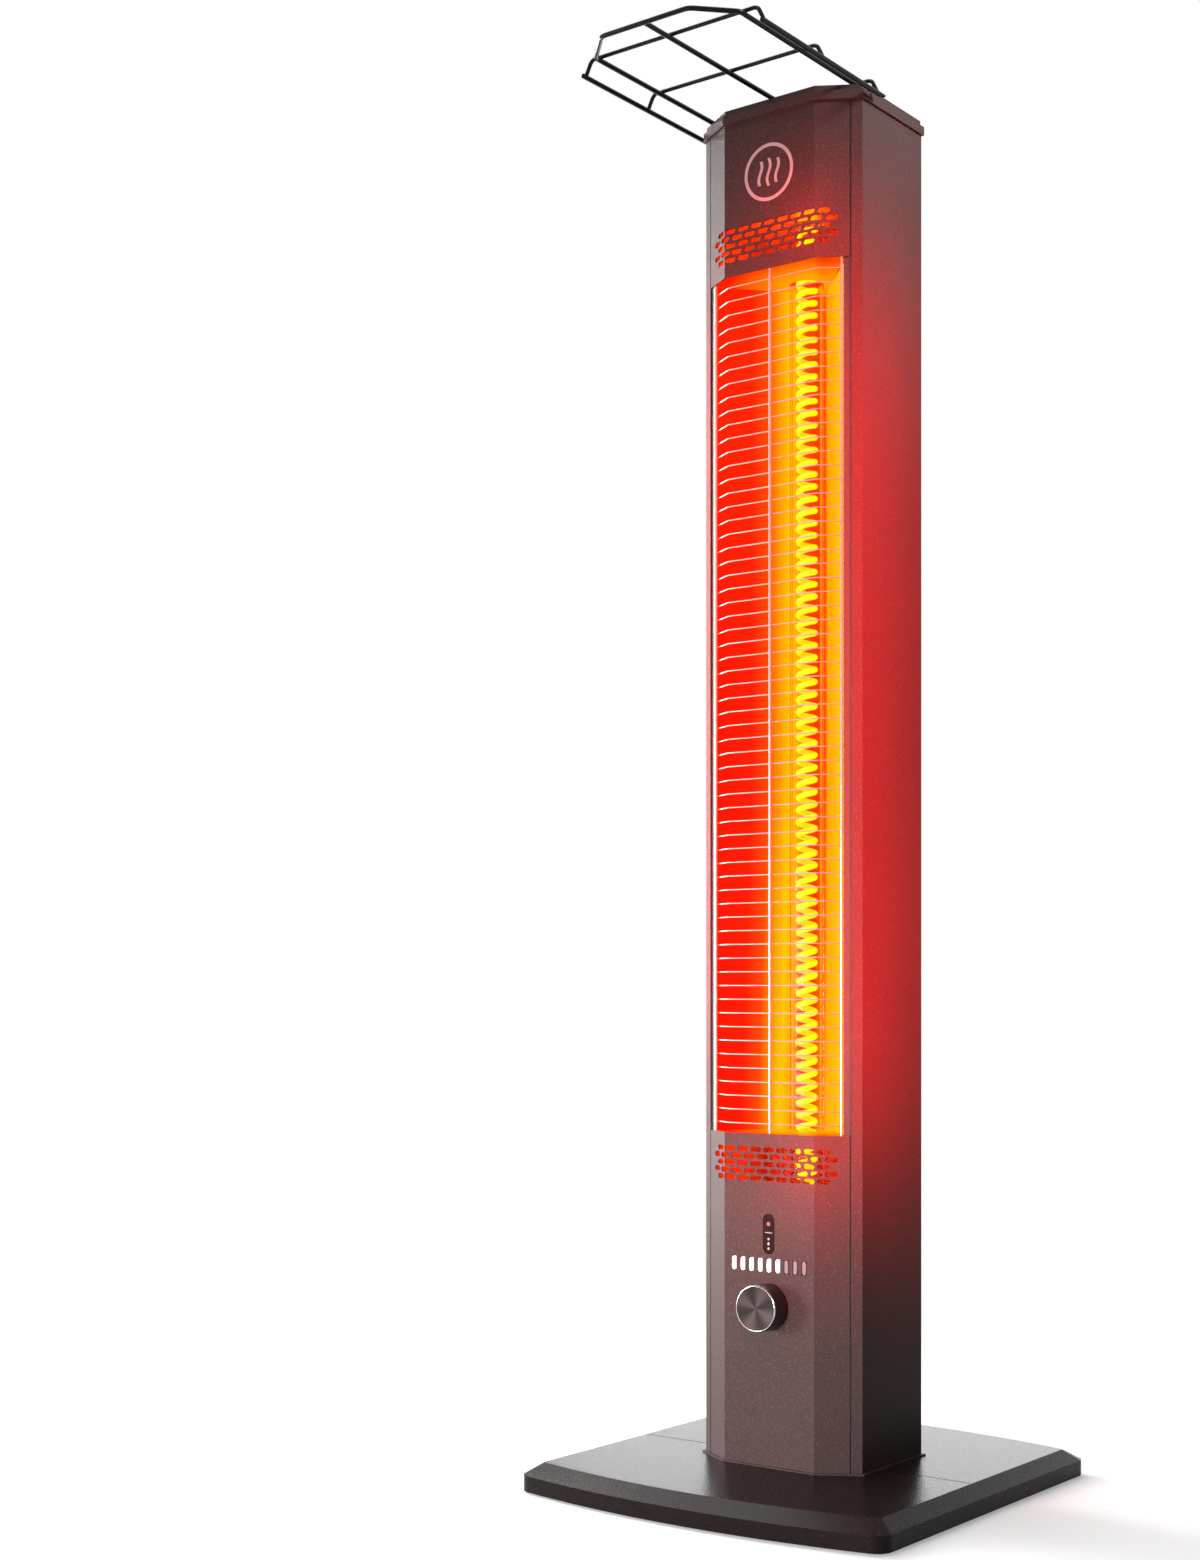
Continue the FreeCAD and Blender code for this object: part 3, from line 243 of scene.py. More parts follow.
def join(name, pieces):
    """Make one piece of several."""
    deselect()
    for piece in pieces:
        piece.select_set(True)
    bpy.context.view_layer.objects.active = pieces[0]
    bpy.ops.object.join()
    return named(name)


def lay_on(piece, material):
    """Give a piece one finish."""
    piece.data.materials.clear()
    piece.data.materials.append(material)


def dress(piece, material, body):
    """Give a new piece its finish and its body."""
    lay_on(piece, material)
    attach(piece, body)


# Shader steps


def new_group(name, inputs, outputs):
    """Start a shader group with named sockets, and return it with its two end nodes."""
    group = bpy.data.node_groups.new(name, "ShaderNodeTree")
    for label, kind, value in inputs:
        socket = group.interface.new_socket(label, in_out="INPUT", socket_type="NodeSocket" + kind)
        socket.default_value = value
    for label, kind in outputs:
        group.interface.new_socket(label, in_out="OUTPUT", socket_type="NodeSocket" + kind)
    return group, group.nodes.new("NodeGroupInput"), group.nodes.new("NodeGroupOutput")


def set_or_link(tree, socket, value):
    """Put a number or a colour on a socket, or link another socket to it."""
    if isinstance(value, (int, float, tuple)):
        socket.default_value = value
    else:
        tree.links.new(value, socket)


def add_place(tree):
    """Place on the piece, in object coordinates."""
    return tree.nodes.new("ShaderNodeTexCoord").outputs["Object"]


def add_split(tree, vector):
    """The X, Y and Z of a vector."""
    split = tree.nodes.new("ShaderNodeSeparateXYZ")
    tree.links.new(vector, split.inputs[0])
    return split.outputs


def add_vector(tree, operation, first, second):
    """One step of arithmetic on vectors."""
    node = tree.nodes.new("ShaderNodeVectorMath")
    node.operation = operation
    tree.links.new(first, node.inputs[0])
    tree.links.new(second, node.inputs[1])
    return node.outputs["Vector"]


def add_noise(tree, vector, scale, detail):
    """Noise texture on a vector."""
    noise = tree.nodes.new("ShaderNodeTexNoise")
    noise.inputs["Detail"].default_value = detail
    tree.links.new(vector, noise.inputs["Vector"])
    set_or_link(tree, noise.inputs["Scale"], scale)
    return noise.outputs["Fac"]


def add_range(tree, value, low, high, to_low, to_high):
    """Map a value from one range to another."""
    node = tree.nodes.new("ShaderNodeMapRange")
    for label, end in (("From Min", low), ("From Max", high), ("To Min", to_low), ("To Max", to_high)):
        set_or_link(tree, node.inputs[label], end)
    tree.links.new(value, node.inputs["Value"])
    return node.outputs["Result"]


def add_mix(tree, factor, first, second):
    """Mix two colours."""
    node = tree.nodes.new("ShaderNodeMix")
    node.data_type = "RGBA"
    tree.links.new(factor, node.inputs["Factor"])
    set_or_link(tree, node.inputs[6], first)
    set_or_link(tree, node.inputs[7], second)
    return node.outputs[2]


def add_ramp(tree, value, stops):
    """Ramp of colour over a value from 0 to 1. The first two stops are its two ends."""
    ramp = tree.nodes.new("ShaderNodeValToRGB")
    tree.links.new(value, ramp.inputs["Fac"])
    bar = ramp.color_ramp
    for index, (position, colour) in enumerate(stops):
        stop = bar.elements[index] if index < 2 else bar.elements.new(position)
        stop.position = position
        stop.color = colour + (1.0,)
    return ramp.outputs["Color"]


def add_sum(tree, operation, first, second=0.0):
    """One step of arithmetic on sockets or numbers."""
    node = tree.nodes.new("ShaderNodeMath")
    node.operation = operation
    set_or_link(tree, node.inputs[0], first)
    set_or_link(tree, node.inputs[1], second)
    return node.outputs["Value"]


def add_radius(tree, across, along):
    """Distance from an axis, from the two places square to it."""
    squares = [add_sum(tree, "MULTIPLY", value, value) for value in (across, along)]
    return add_sum(tree, "SQRT", add_sum(tree, "ADD", *squares))


# Shader groups


def make_coat_group():
    """Powder coat: fine orange-peel grain with pale flecks, and a slow cloud of tone."""
    group, enter, leave = new_group(
        "powder_coat",
        [("Colour", "Color", (0.05, 0.04, 0.04, 1)), ("Fleck", "Color", (0.1, 0.09, 0.09, 1)),
         ("Grain Scale", "Float", 1400.0), ("Smooth", "Float", 0.34), ("Rough", "Float", 0.46)],
        [("Colour", "Color"), ("Roughness", "Float"), ("Height", "Float")])
    place = add_place(group)
    grain = add_noise(group, place, scale=enter.outputs["Grain Scale"], detail=2.0)
    cloud = add_range(group, add_noise(group, place, scale=9.0, detail=3.0), 0.3, 0.7, 0.0, 0.22)
    flecks = add_range(group, grain, 0.54, 0.72, 0.0, 1.0)
    toned = add_mix(group, cloud, enter.outputs["Colour"], enter.outputs["Fleck"])
    group.links.new(add_mix(group, flecks, toned, enter.outputs["Fleck"]), leave.inputs["Colour"])
    rough = add_range(group, grain, 0.3, 0.7, enter.outputs["Smooth"], enter.outputs["Rough"])
    group.links.new(rough, leave.inputs["Roughness"])
    group.links.new(grain, leave.inputs["Height"])
    return group


def make_drawn_group():
    """Drawn or rolled metal: streaks along one axis, in tone and roughness."""
    group, enter, leave = new_group(
        "drawn_metal",
        [("Colour", "Color", (0.6, 0.6, 0.6, 1)), ("Dark", "Color", (0.4, 0.4, 0.4, 1)),
         ("Stretch", "Vector", (900.0, 900.0, 60.0)), ("Smooth", "Float", 0.2), ("Rough", "Float", 0.4)],
        [("Colour", "Color"), ("Roughness", "Float"), ("Height", "Float")])
    stretched = add_vector(group, "MULTIPLY", add_place(group), enter.outputs["Stretch"])
    streak = add_noise(group, stretched, scale=1.0, detail=3.0)
    fade = add_range(group, streak, 0.3, 0.7, 0.0, 1.0)
    group.links.new(add_mix(group, fade, enter.outputs["Dark"], enter.outputs["Colour"]),
                    leave.inputs["Colour"])
    rough = add_range(group, streak, 0.3, 0.7, enter.outputs["Rough"], enter.outputs["Smooth"])
    group.links.new(rough, leave.inputs["Roughness"])
    group.links.new(streak, leave.inputs["Height"])
    return group


def make_trough_group():
    """Painted glow across the trough's two walls, standing in for the coil's light on them, and a mask of the
    side that looks at the coil.
    """
    group, enter, leave = new_group("trough_glow", [("Reach", "Float", TROUGH_REACH)],
                                    [("Colour", "Color"), ("Lit Side", "Float")])
    place = add_place(group)
    split = add_split(group, place)
    out = add_sum(group, "DIVIDE", split["X"], enter.outputs["Reach"])
    across = add_range(group, out, -1.0, 1.0, 0.0, 1.0)
    lean = add_range(group, split["Z"], WINDOW_LOW, LEAN_LEVEL, LEAN_SHARE, 0.0)
    walls = add_ramp(group, add_sum(group, "ADD", across, lean), TROUGH_GLOW)
    upper = add_range(group, split["Z"], ORANGE_LEVEL, WINDOW_HIGH, 0.0, ORANGE_SHARE)
    glow = add_mix(group, upper, walls, (1.0, 0.16, 0.0, 1.0))
    # Uneven patches of deeper red in the painted glow
    uneven_painted_glow = add_range(group, add_noise(group, place, scale=60.0, detail=3.0), 0.3, 0.7, 0.0, 0.12)
    group.links.new(add_mix(group, uneven_painted_glow, glow, (0.8, 0.02, 0.0, 1.0)), leave.inputs["Colour"])
    # Mask of the side that looks at the coil, where the painted glow and tint go
    facing = add_split(group, group.nodes.new("ShaderNodeNewGeometry").outputs["Normal"])
    group.links.new(add_range(group, facing["Y"], -0.1, -0.3, 0.0, 1.0), leave.inputs["Lit Side"])
    return group


def make_plate_group():
    """Painted glow of the coil's light on the plates across the trough's ends, from the tube outwards, and
    their metal colour tinted unevenly by it.
    """
    group, enter, leave = new_group("plate_glow", [("Reach", "Float", PLATE_REACH)],
                                    [("Colour", "Color"), ("Metal", "Color")])
    place = add_place(group)
    split = add_split(group, place)
    away = add_radius(group, split["X"], split["Y"])
    glow = add_ramp(group, add_sum(group, "DIVIDE", away, enter.outputs["Reach"]), PLATE_GLOW)
    group.links.new(glow, leave.inputs["Colour"])
    # Uneven share of the painted glow in the plates' metal colour
    uneven_painted_glow = add_range(group, add_noise(group, place, scale=160.0, detail=3.0), 0.25, 0.75, 0.7, 0.9)
    group.links.new(add_mix(group, uneven_painted_glow, glow, (0.02, 0.0, 0.0, 1.0)), leave.inputs["Metal"])
    return group


def make_face_group():
    """Circular brushing on the knob: fine rings, and four soft sectors of painted highlight about its axis."""
    group, enter, leave = new_group(
        "turned_face_and_painted_highlight",
        [("Dark", "Color", (0.011, 0.0075, 0.007, 1)), ("Bright", "Color", (0.044, 0.032, 0.031, 1)),
         ("Centre", "Vector", (0.0, 0.0, 0.13))],
        [("Colour", "Color"), ("Roughness", "Float"), ("Height", "Float")])
    split = add_split(group, add_vector(group, "SUBTRACT", add_place(group), enter.outputs["Centre"]))
    # Four sectors of painted highlight round the axis, in place of the brushed face's reflections
    angle = add_sum(group, "ARCTAN2", split["Z"], split["X"])
    painted_highlight_sector = add_sum(group, "COSINE", add_sum(group, "ADD", add_sum(group, "MULTIPLY", angle, 2.0), 0.9))
    painted_highlight_sector = add_sum(group, "POWER", add_sum(group, "ABSOLUTE", painted_highlight_sector), 2.2)
    ring = group.nodes.new("ShaderNodeCombineXYZ")
    group.links.new(add_radius(group, split["X"], split["Z"]), ring.inputs["X"])
    streak = add_noise(group, ring.outputs["Vector"], scale=5200.0, detail=2.0)
    light = add_sum(group, "MULTIPLY", painted_highlight_sector, add_range(group, streak, 0.3, 0.7, 0.75, 1.0))
    group.links.new(add_mix(group, light, enter.outputs["Dark"], enter.outputs["Bright"]),
                    leave.inputs["Colour"])
    group.links.new(add_range(group, streak, 0.3, 0.7, 0.28, 0.42), leave.inputs["Roughness"])
    group.links.new(streak, leave.inputs["Height"])
    return group


coat_group = make_coat_group()
drawn_group = make_drawn_group()
trough_group = make_trough_group()
plate_group = make_plate_group()
face_group = make_face_group()


# Finishes


def new_finish(name, colour, roughness, metallic=0.0, **extra):
    """Material with one Principled shader; plain values are set on its own sockets."""
    material = bpy.data.materials.new(name)
    material.use_nodes = True
    shader = material.node_tree.nodes["Principled BSDF"]
    values = {"Base Color": colour + (1.0,), "Roughness": roughness, "Metallic": metallic}
    values.update({label.replace("_", " "): value for label, value in extra.items()})
    for label, value in values.items():
        shader.inputs[label].default_value = value
    return material, material.node_tree, shader


def place_group(tree, group, **values):
    """Put a shader group in a material with its own values."""
    node = tree.nodes.new("ShaderNodeGroup")
    node.node_tree = group
    for label, value in values.items():
        node.inputs[label.replace("_", " ")].default_value = value
    return node


def link_surface(tree, look, shader):
    """Feed a group's colour and roughness to the shader."""
    tree.links.new(look.outputs["Colour"], shader.inputs["Base Color"])
    tree.links.new(look.outputs["Roughness"], shader.inputs["Roughness"])


def add_bump(tree, height, shader, strength, distance):
    """Raise the surface by a height."""
    bump = tree.nodes.new("ShaderNodeBump")
    bump.inputs["Strength"].default_value = strength
    bump.inputs["Distance"].default_value = distance
    tree.links.new(height, bump.inputs["Height"])
    tree.links.new(bump.outputs["Normal"], shader.inputs["Normal"])


def coat_finish(name, colour, fleck, smooth, rough, grain, bump, **extra):
    """Coated metal or moulded plastic with grain."""
    material, tree, shader = new_finish(name, colour, rough, **extra)
    coat = place_group(tree, coat_group, Colour=colour + (1.0,), Fleck=fleck + (1.0,), Grain_Scale=grain,
                       Smooth=smooth, Rough=rough)
    link_surface(tree, coat, shader)
    add_bump(tree, coat.outputs["Height"], shader, strength=bump, distance=0.0004)
    return material


def drawn_finish(name, colour, dark, stretch, smooth, rough, **extra):
    """Bare metal with streaks."""
    material, tree, shader = new_finish(name, colour, rough, metallic=1.0, **extra)
    drawn = place_group(tree, drawn_group, Colour=colour + (1.0,), Dark=dark + (1.0,), Stretch=stretch,
                        Smooth=smooth, Rough=rough)
    link_surface(tree, drawn, shader)
    add_bump(tree, drawn.outputs["Height"], shader, strength=0.15, distance=0.0002)
    return material


def trough_finish():
    """Bright metal of the trough with the coil's light painted as glow and red tint on its inner side, and
    only a faint painted glow behind.
    """
    material, tree, shader = new_finish("trough metal", (0.12, 0.02, 0.01), roughness=0.3, metallic=1.0,
                                        Emission_Strength=1.0)
    painted_coil_glow = place_group(tree, trough_group)
    # Painted glow of the coil on the side that looks at it, and a painted red tint in the metal colour there
    lit = add_mix(tree, painted_coil_glow.outputs["Lit Side"], (0.02, 0.001, 0.0, 1.0), painted_coil_glow.outputs["Colour"])
    tree.links.new(lit, shader.inputs["Emission Color"])
    metal = add_mix(tree, painted_coil_glow.outputs["Lit Side"], (0.5, 0.45, 0.42, 1.0), (0.1, 0.008, 0.002, 1.0))
    tree.links.new(metal, shader.inputs["Base Color"])
    return material


def plate_metal():
    """Bright metal of the end plates with the coil's light painted on it as glow and tint."""
    material, tree, shader = new_finish("end plate metal", (0.3, 0.02, 0.0), roughness=0.3, metallic=1.0,
                                        Emission_Strength=0.85)
    painted_coil_glow = place_group(tree, plate_group)
    tree.links.new(painted_coil_glow.outputs["Metal"], shader.inputs["Base Color"])
    tree.links.new(painted_coil_glow.outputs["Colour"], shader.inputs["Emission Color"])
    return material


def glow_finish(name, bright, dim, strength, base, grain):
    """Printed or moulded mark that gives its own light, a little uneven."""
    material, tree, shader = new_finish(name, base, roughness=0.4, Emission_Strength=strength)
    uneven = add_range(tree, add_noise(tree, add_place(tree), grain, detail=2.0), 0.35, 0.65, 0.0, 1.0)
    tree.links.new(add_mix(tree, uneven, bright + (1.0,), dim + (1.0,)), shader.inputs["Emission Color"])
    tree.links.new(add_range(tree, uneven, 0.0, 1.0, 0.34, 0.46), shader.inputs["Roughness"])
    return material


def wire_finish():
    """Yellow-hot wire, painted deeper orange as shade on the side that looks into the coil, uneven, and cool
    on its two tails.
    """
    material, tree, shader = new_finish("glowing wire", (0.3, 0.06, 0.0), roughness=0.6,
                                        Emission_Strength=1.0)
    place = add_place(tree)
    split = add_split(tree, place)
    away = add_radius(tree, split["X"], split["Y"])
    inner = COIL_RADIUS - COIL_STRAND / 2
    # The hot glow is the wire's own; the deeper orange of its inner side is painted shade
    hot = add_ramp(tree, add_range(tree, away, inner, inner + COIL_STRAND, 0.0, 1.0), WIRE_GLOW)
    uneven = add_range(tree, add_noise(tree, place, scale=45.0, detail=2.0), 0.35, 0.65, 0.0, 0.15)
    hot = add_mix(tree, uneven, hot, (1.0, 0.6, 0.0, 1.0))
    middle = (TUBE_LOW + TUBE_HIGH) / 2
    reach = COIL_TURNS * COIL_PITCH / 2
    height = add_sum(tree, "ABSOLUTE", add_sum(tree, "SUBTRACT", split["Z"], middle))
    cool = add_range(tree, height, reach, reach + COIL_STRAND, 0.0, 1.0)
    tree.links.new(add_mix(tree, cool, hot, (0.3, 0.012, 0.0, 1.0)), shader.inputs["Emission Color"])
    return material


def quartz_finish():
    """Clear fused quartz with faint drawn cloudiness."""
    material, tree, shader = new_finish("quartz", (1.0, 0.97, 0.92), roughness=0.0,
                                        Transmission_Weight=1.0, IOR=1.12)
    drawn = place_group(tree, drawn_group, Colour=(1.0, 0.98, 0.94, 1.0), Dark=(0.98, 0.95, 0.89, 1.0),
                        Stretch=(500.0, 500.0, 20.0), Smooth=0.0, Rough=0.025)
    link_surface(tree, drawn, shader)
    return material


def face_finish():
    """Brushed face of the knob, with painted highlights."""
    material, tree, shader = new_finish("knob face", (0.1, 0.09, 0.085), roughness=0.35, metallic=0.85)
    face = place_group(tree, face_group, Centre=(0.0, 0.0, KNOB_LEVEL))
    link_surface(tree, face, shader)
    add_bump(tree, face.outputs["Height"], shader, strength=0.1, distance=0.0001)
    return material


finishes = {
    "bronze_coat": coat_finish(
        "bronze powder coat", (0.053, 0.036, 0.0355), (0.083, 0.06, 0.059),
        smooth=0.34, rough=0.5, grain=800.0, bump=0.35, Specular_IOR_Level=0.025),
    "black_wire": coat_finish(
        "black wire coat", (0.002, 0.002, 0.002), (0.004, 0.0035, 0.0035),
        smooth=0.2, rough=0.3, grain=400.0, bump=0.03, Specular_IOR_Level=0.15),
    "zinc_steel": drawn_finish(
        "zinc-plated steel", (0.62, 0.62, 0.6), (0.48, 0.48, 0.47),
        stretch=(900.0, 60.0, 900.0), smooth=0.25, rough=0.42),
    "black_steel": coat_finish(
        "black strip coat", (0.012, 0.010, 0.010), (0.02, 0.018, 0.018),
        smooth=0.4, rough=0.6, grain=1200.0, bump=0.3),
    "iron": coat_finish(
        "cast iron", (0.06, 0.06, 0.06), (0.1, 0.1, 0.1),
        smooth=0.55, rough=0.75, grain=500.0, bump=0.6, metallic=0.6),
    "foam": coat_finish(
        "foam sheet", (0.02, 0.02, 0.02), (0.04, 0.04, 0.04),
        smooth=0.7, rough=0.9, grain=900.0, bump=0.6),
    # Grille wire: its red tint and red emission are painted glow of the heater's light
    "grille_steel": drawn_finish(
        "grille wire with painted red glow", (0.42, 0.25, 0.22), (0.3, 0.15, 0.13),
        stretch=(60.0, 900.0, 900.0), smooth=0.24, rough=0.36,
        Emission_Color=(1.0, 0.3, 0.2, 1.0), Emission_Strength=0.3),
    "bright_aluminium": trough_finish(),
    "ceramic": coat_finish(
        "ceramic", (0.5, 0.42, 0.36), (0.58, 0.5, 0.44),
        smooth=0.5, rough=0.7, grain=900.0, bump=0.3),
    "dark_lens": coat_finish(
        "smoked lens", (0.012, 0.006, 0.006), (0.016, 0.008, 0.008),
        smooth=0.08, rough=0.16, grain=300.0, bump=0.02, Specular_IOR_Level=0.12),
    "clear_guide": coat_finish(
        "lamp window", (0.16, 0.145, 0.15), (0.2, 0.185, 0.19),
        smooth=0.2, rough=0.35, grain=600.0, bump=0.05, Specular_IOR_Level=0.15),
    "knob_black": coat_finish(
        "knob side", (0.009, 0.007, 0.0065), (0.016, 0.013, 0.012),
        smooth=0.3, rough=0.42, grain=1200.0, bump=0.15),
    "knob_bright": drawn_finish(
        "knob rim", (0.6, 0.58, 0.57), (0.42, 0.4, 0.39),
        stretch=(900.0, 60.0, 900.0), smooth=0.1, rough=0.2),
    "circuit_board": coat_finish(
        "circuit board", (0.012, 0.1, 0.04), (0.02, 0.13, 0.055),
        smooth=0.3, rough=0.45, grain=400.0, bump=0.1),
    "black_plastic": coat_finish(
        "black moulding", (0.016, 0.016, 0.016), (0.03, 0.03, 0.03),
        smooth=0.4, rough=0.55, grain=1400.0, bump=0.3),
    "white_plastic": coat_finish(
        "white moulding", (0.7, 0.7, 0.68), (0.76, 0.76, 0.74),
        smooth=0.4, rough=0.55, grain=1400.0, bump=0.2),
    "glowing_wire": wire_finish(),
    "quartz": quartz_finish(),
    "knob_brushed": face_finish(),
}
plate_finish = plate_metal()
base_finish = coat_finish(
    "base powder coat", (0.0075, 0.0045, 0.0045), (0.016, 0.01, 0.0095),
    smooth=0.2, rough=0.3, grain=900.0, bump=0.4, Specular_IOR_Level=0.065)
seam_finish = coat_finish(
    "seam shade", (0.004, 0.003, 0.003), (0.006, 0.005, 0.005),
    smooth=0.8, rough=0.9, grain=900.0, bump=0.05, Specular_IOR_Level=0.0)
sign_finish = coat_finish(
    "pale print", (0.36, 0.32, 0.315), (0.42, 0.38, 0.375),
    smooth=0.4, rough=0.5, grain=1500.0, bump=0.1)
lit_lamp = glow_finish(
    "lit lamp", (1.0, 0.99, 0.97), (0.94, 0.9, 0.88), strength=1.0, base=(0.8, 0.8, 0.8), grain=260.0)
red_mark = glow_finish(
    "red mark", (1.0, 0.03, 0.02), (0.7, 0.015, 0.01), strength=0.9, base=(0.02, 0.02, 0.02), grain=1800.0)
grey_mark = glow_finish(
    "grey mark", (0.5, 0.42, 0.42), (0.4, 0.33, 0.33), strength=0.25, base=(0.25, 0.22, 0.22), grain=1800.0)

for part in frame["record"]["subparts"]:
    lay_on(frame["nodes"][part["node"]], finishes[part["material_slot"]])
for name in ("upper_end_plate", "lower_end_plate"):
    lay_on(frame["nodes"][name], plate_finish)
for name in ("base_front_half", "base_rear_half"):
    lay_on(frame["nodes"][name], base_finish)


# Heater


def turn_up_tail(coil, way, level, end):
    """Bend the coil's open end from its last turn to upright and run it straight to its holder."""
    strand = COIL_STRAND / 2 * TAIL_MARGIN
    pick(coil, lambda spot: abs(spot.y) < HAIR and spot.x > 0 and abs(spot.z - level) < strand)
    for step in range(TAIL_STEPS):
        bpy.ops.mesh.extrude_region_move()
        bpy.ops.transform.rotate(value=math.radians(-90 / TAIL_STEPS), orient_axis="X",
                                 center_override=(COIL_RADIUS, 0.0, level + way * COIL_BEND))
    draw_out(0.0, 0.0, end - level - way * COIL_BEND)
    bpy.ops.mesh.edge_face_add()


def wind_coil():
    """Glowing wire: a round section wound about the tube's axis, with a tail at each end."""
    low = (TUBE_LOW + TUBE_HIGH - COIL_TURNS * COIL_PITCH) / 2
    deselect()
    bpy.ops.mesh.primitive_circle_add(vertices=COIL_SIDES, radius=COIL_STRAND / 2, fill_type="NOTHING",
                                      location=(COIL_RADIUS, 0.0, low), rotation=(math.pi / 2, 0.0, 0.0))
    coil = named("glowing_coil")
    winding = coil.modifiers.new("winding", "SCREW")
    winding.axis = "Z"
    winding.screw_offset = COIL_PITCH
    winding.iterations = COIL_TURNS
    winding.steps = COIL_STEPS
    winding.render_steps = COIL_STEPS
    bpy.ops.object.modifier_apply(modifier="winding")
    turn_up_tail(coil, -1, low, TUBE_LOW)
    turn_up_tail(coil, 1, low + COIL_TURNS * COIL_PITCH, TUBE_HIGH)
    close_edit(coil, angle=60)
    dress(coil, finishes["glowing_wire"], "heater")
    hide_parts("heating_coil")


def draw_tube():
    """Clear quartz tube with its wall."""
    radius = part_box("quartz_tube")[1][0]
    deselect()
    bpy.ops.mesh.primitive_circle_add(vertices=TUBE_SIDES, radius=radius, fill_type="NOTHING",
                                      location=(0.0, 0.0, TUBE_LOW))
    tube = named("clear_tube")
    edit_all()
    draw_out(0.0, 0.0, TUBE_HIGH - TUBE_LOW)
    close_edit(tube)
    wall = tube.modifiers.new("wall", "SOLIDIFY")
    wall.thickness = TUBE_WALL
    wall.offset = -1.0
    bpy.ops.object.modifier_apply(modifier="wall")
    bpy.ops.object.shade_smooth_by_angle(angle=math.radians(35))
    dress(tube, finishes["quartz"], "heater")
    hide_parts("quartz_tube")


wind_coil()
draw_tube()


# Knob, lamps, display and sign


def turn_on_lathe(name, rings):
    """Round piece about the knob's axis. A ring is (radius, place along Y), from the back to the front."""
    deselect()
    bpy.ops.mesh.primitive_circle_add(vertices=KNOB_SIDES, radius=rings[0][0], fill_type="NGON",
                                      location=(0.0, rings[0][1], KNOB_LEVEL),
                                      rotation=(math.pi / 2, 0.0, 0.0))
    piece = named(name)
    edit_all()
    for before, after in zip(rings, rings[1:]):
        draw_out(0.0, after[1] - before[1], 0.0)
        share = after[0] / before[0]
        bpy.ops.transform.resize(value=(share, 1.0, share), center_override=(0.0, after[1], KNOB_LEVEL))
    return close_edit(piece, angle=28)


def turn_knob():
    """Knob of three pieces: dark side with a soft rear edge, bright bevelled rim and dished brushed face."""
    back = [(KNOB_RADIUS - inset, KNOB_HIGH[1] - depth) for inset, depth in KNOB_BACK_RINGS]
    front = [(KNOB_RADIUS - inset, KNOB_FACE + depth) for inset, depth in KNOB_FRONT_RINGS]
    side = turn_on_lathe("knob_side", back + front)
    dress(side, finishes["knob_black"], "knob")
    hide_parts("knob_shell")
    rim = turn_on_lathe("knob_bright_rim", [
        (KNOB_RADIUS - inset, KNOB_FACE + depth) for inset, depth in RIM_RINGS])
    dress(rim, finishes["knob_bright"], "knob")
    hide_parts("knob_rim")
    edge = [(KNOB_RADIUS - inset, KNOB_FACE + depth) for inset, depth in FACE_RINGS]
    dish = [(radius, KNOB_FACE + depth) for radius, depth in FACE_DISH]
    face = turn_on_lathe("knob_brushed_face", edge + dish)
    dress(face, finishes["knob_brushed"], "knob")
    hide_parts("knob_face_disc")


def round_bar(name, x, level, size, back, front, ease):
    """Upright bar with round ends and an eased front edge."""
    width, height = size
    deselect()
    bpy.ops.mesh.primitive_circle_add(vertices=BAR_SIDES, radius=width / 2, fill_type="NGON",
                                      location=(x, back, level), rotation=(math.pi / 2, 0.0, 0.0))
    piece = named(name)
    stretch = (height - width) / 2
    for way in (-1, 1):
        pick(piece, lambda spot: (spot.z - level) * way > HAIR)
        bpy.ops.transform.translate(value=(0.0, 0.0, stretch * way))
    bpy.ops.mesh.select_all(action="SELECT")
    draw_out(0.0, front + ease - back, 0.0)
    draw_out(0.0, -ease, 0.0)
    bpy.ops.transform.resize(value=(1 - 2 * ease / width, 1.0, 1 - 2 * ease / height),
                             center_override=(x, front, level))
    return close_edit(piece, angle=40)


def light_lamps():
    """Row of lamp windows, the first ones lit."""
    back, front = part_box("lamp_guide")[1][1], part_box("lamp_guide")[0][1]
    first = -(LAMP_COUNT - 1) / 2 * LAMP_PITCH
    bar = round_bar("lamp_bar", first, LAMP_LEVEL, LAMP_SIZE, back, front, LAMP_EASE)
    bars = with_copies(bar, [(index * LAMP_PITCH, 0.0, 0.0) for index in range(1, LAMP_COUNT)])
    lit = join("lit_lamp_bars", bars[:LIT_LAMPS])
    dark = join("dark_lamp_bars", bars[LIT_LAMPS:])
    dress(lit, lit_lamp, "heater")
    dress(dark, finishes["clear_guide"], "heater")
    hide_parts("lamp_guide")


def light_display():
    """Smoked oval lens with a red point, a divider and three small marks."""
    low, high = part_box("display_lens")
    lens = round_bar("smoked_display_lens", 0.0, DISPLAY_LEVEL, DISPLAY_SIZE, high[1], low[1], DISPLAY_EASE)
    dress(lens, finishes["dark_lens"], "heater")
    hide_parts("display_lens")
    face = low[1]
    point = round_bar("display_point", 0.0, DISPLAY_LEVEL + POINT_RISE, POINT_SIZE, face, face - POINT_DEPTH,
                      POINT_EASE)
    dress(point, red_mark, "heater")
    marks = [round_bar("display_mark", 0.0, DISPLAY_LEVEL + rise, size, face, face - PRINT_DEPTH, MARK_EASE)
             for rise, size in MARKS]
    marks = join("display_marks", marks)
    dress(marks, grey_mark, "heater")
    divider = round_bar("display_divider", 0.0, DISPLAY_LEVEL + DIVIDER_RISE, DIVIDER_SIZE, face,
                        face - PRINT_DEPTH, MARK_EASE)
    take(divider)
    edit_all()
    bpy.ops.transform.resize(value=(DIVIDER_STRETCH, 1.0, 1.0), center_override=(0.0, face, DISPLAY_LEVEL))
    close_edit(divider)
    dress(divider, grey_mark, "heater")


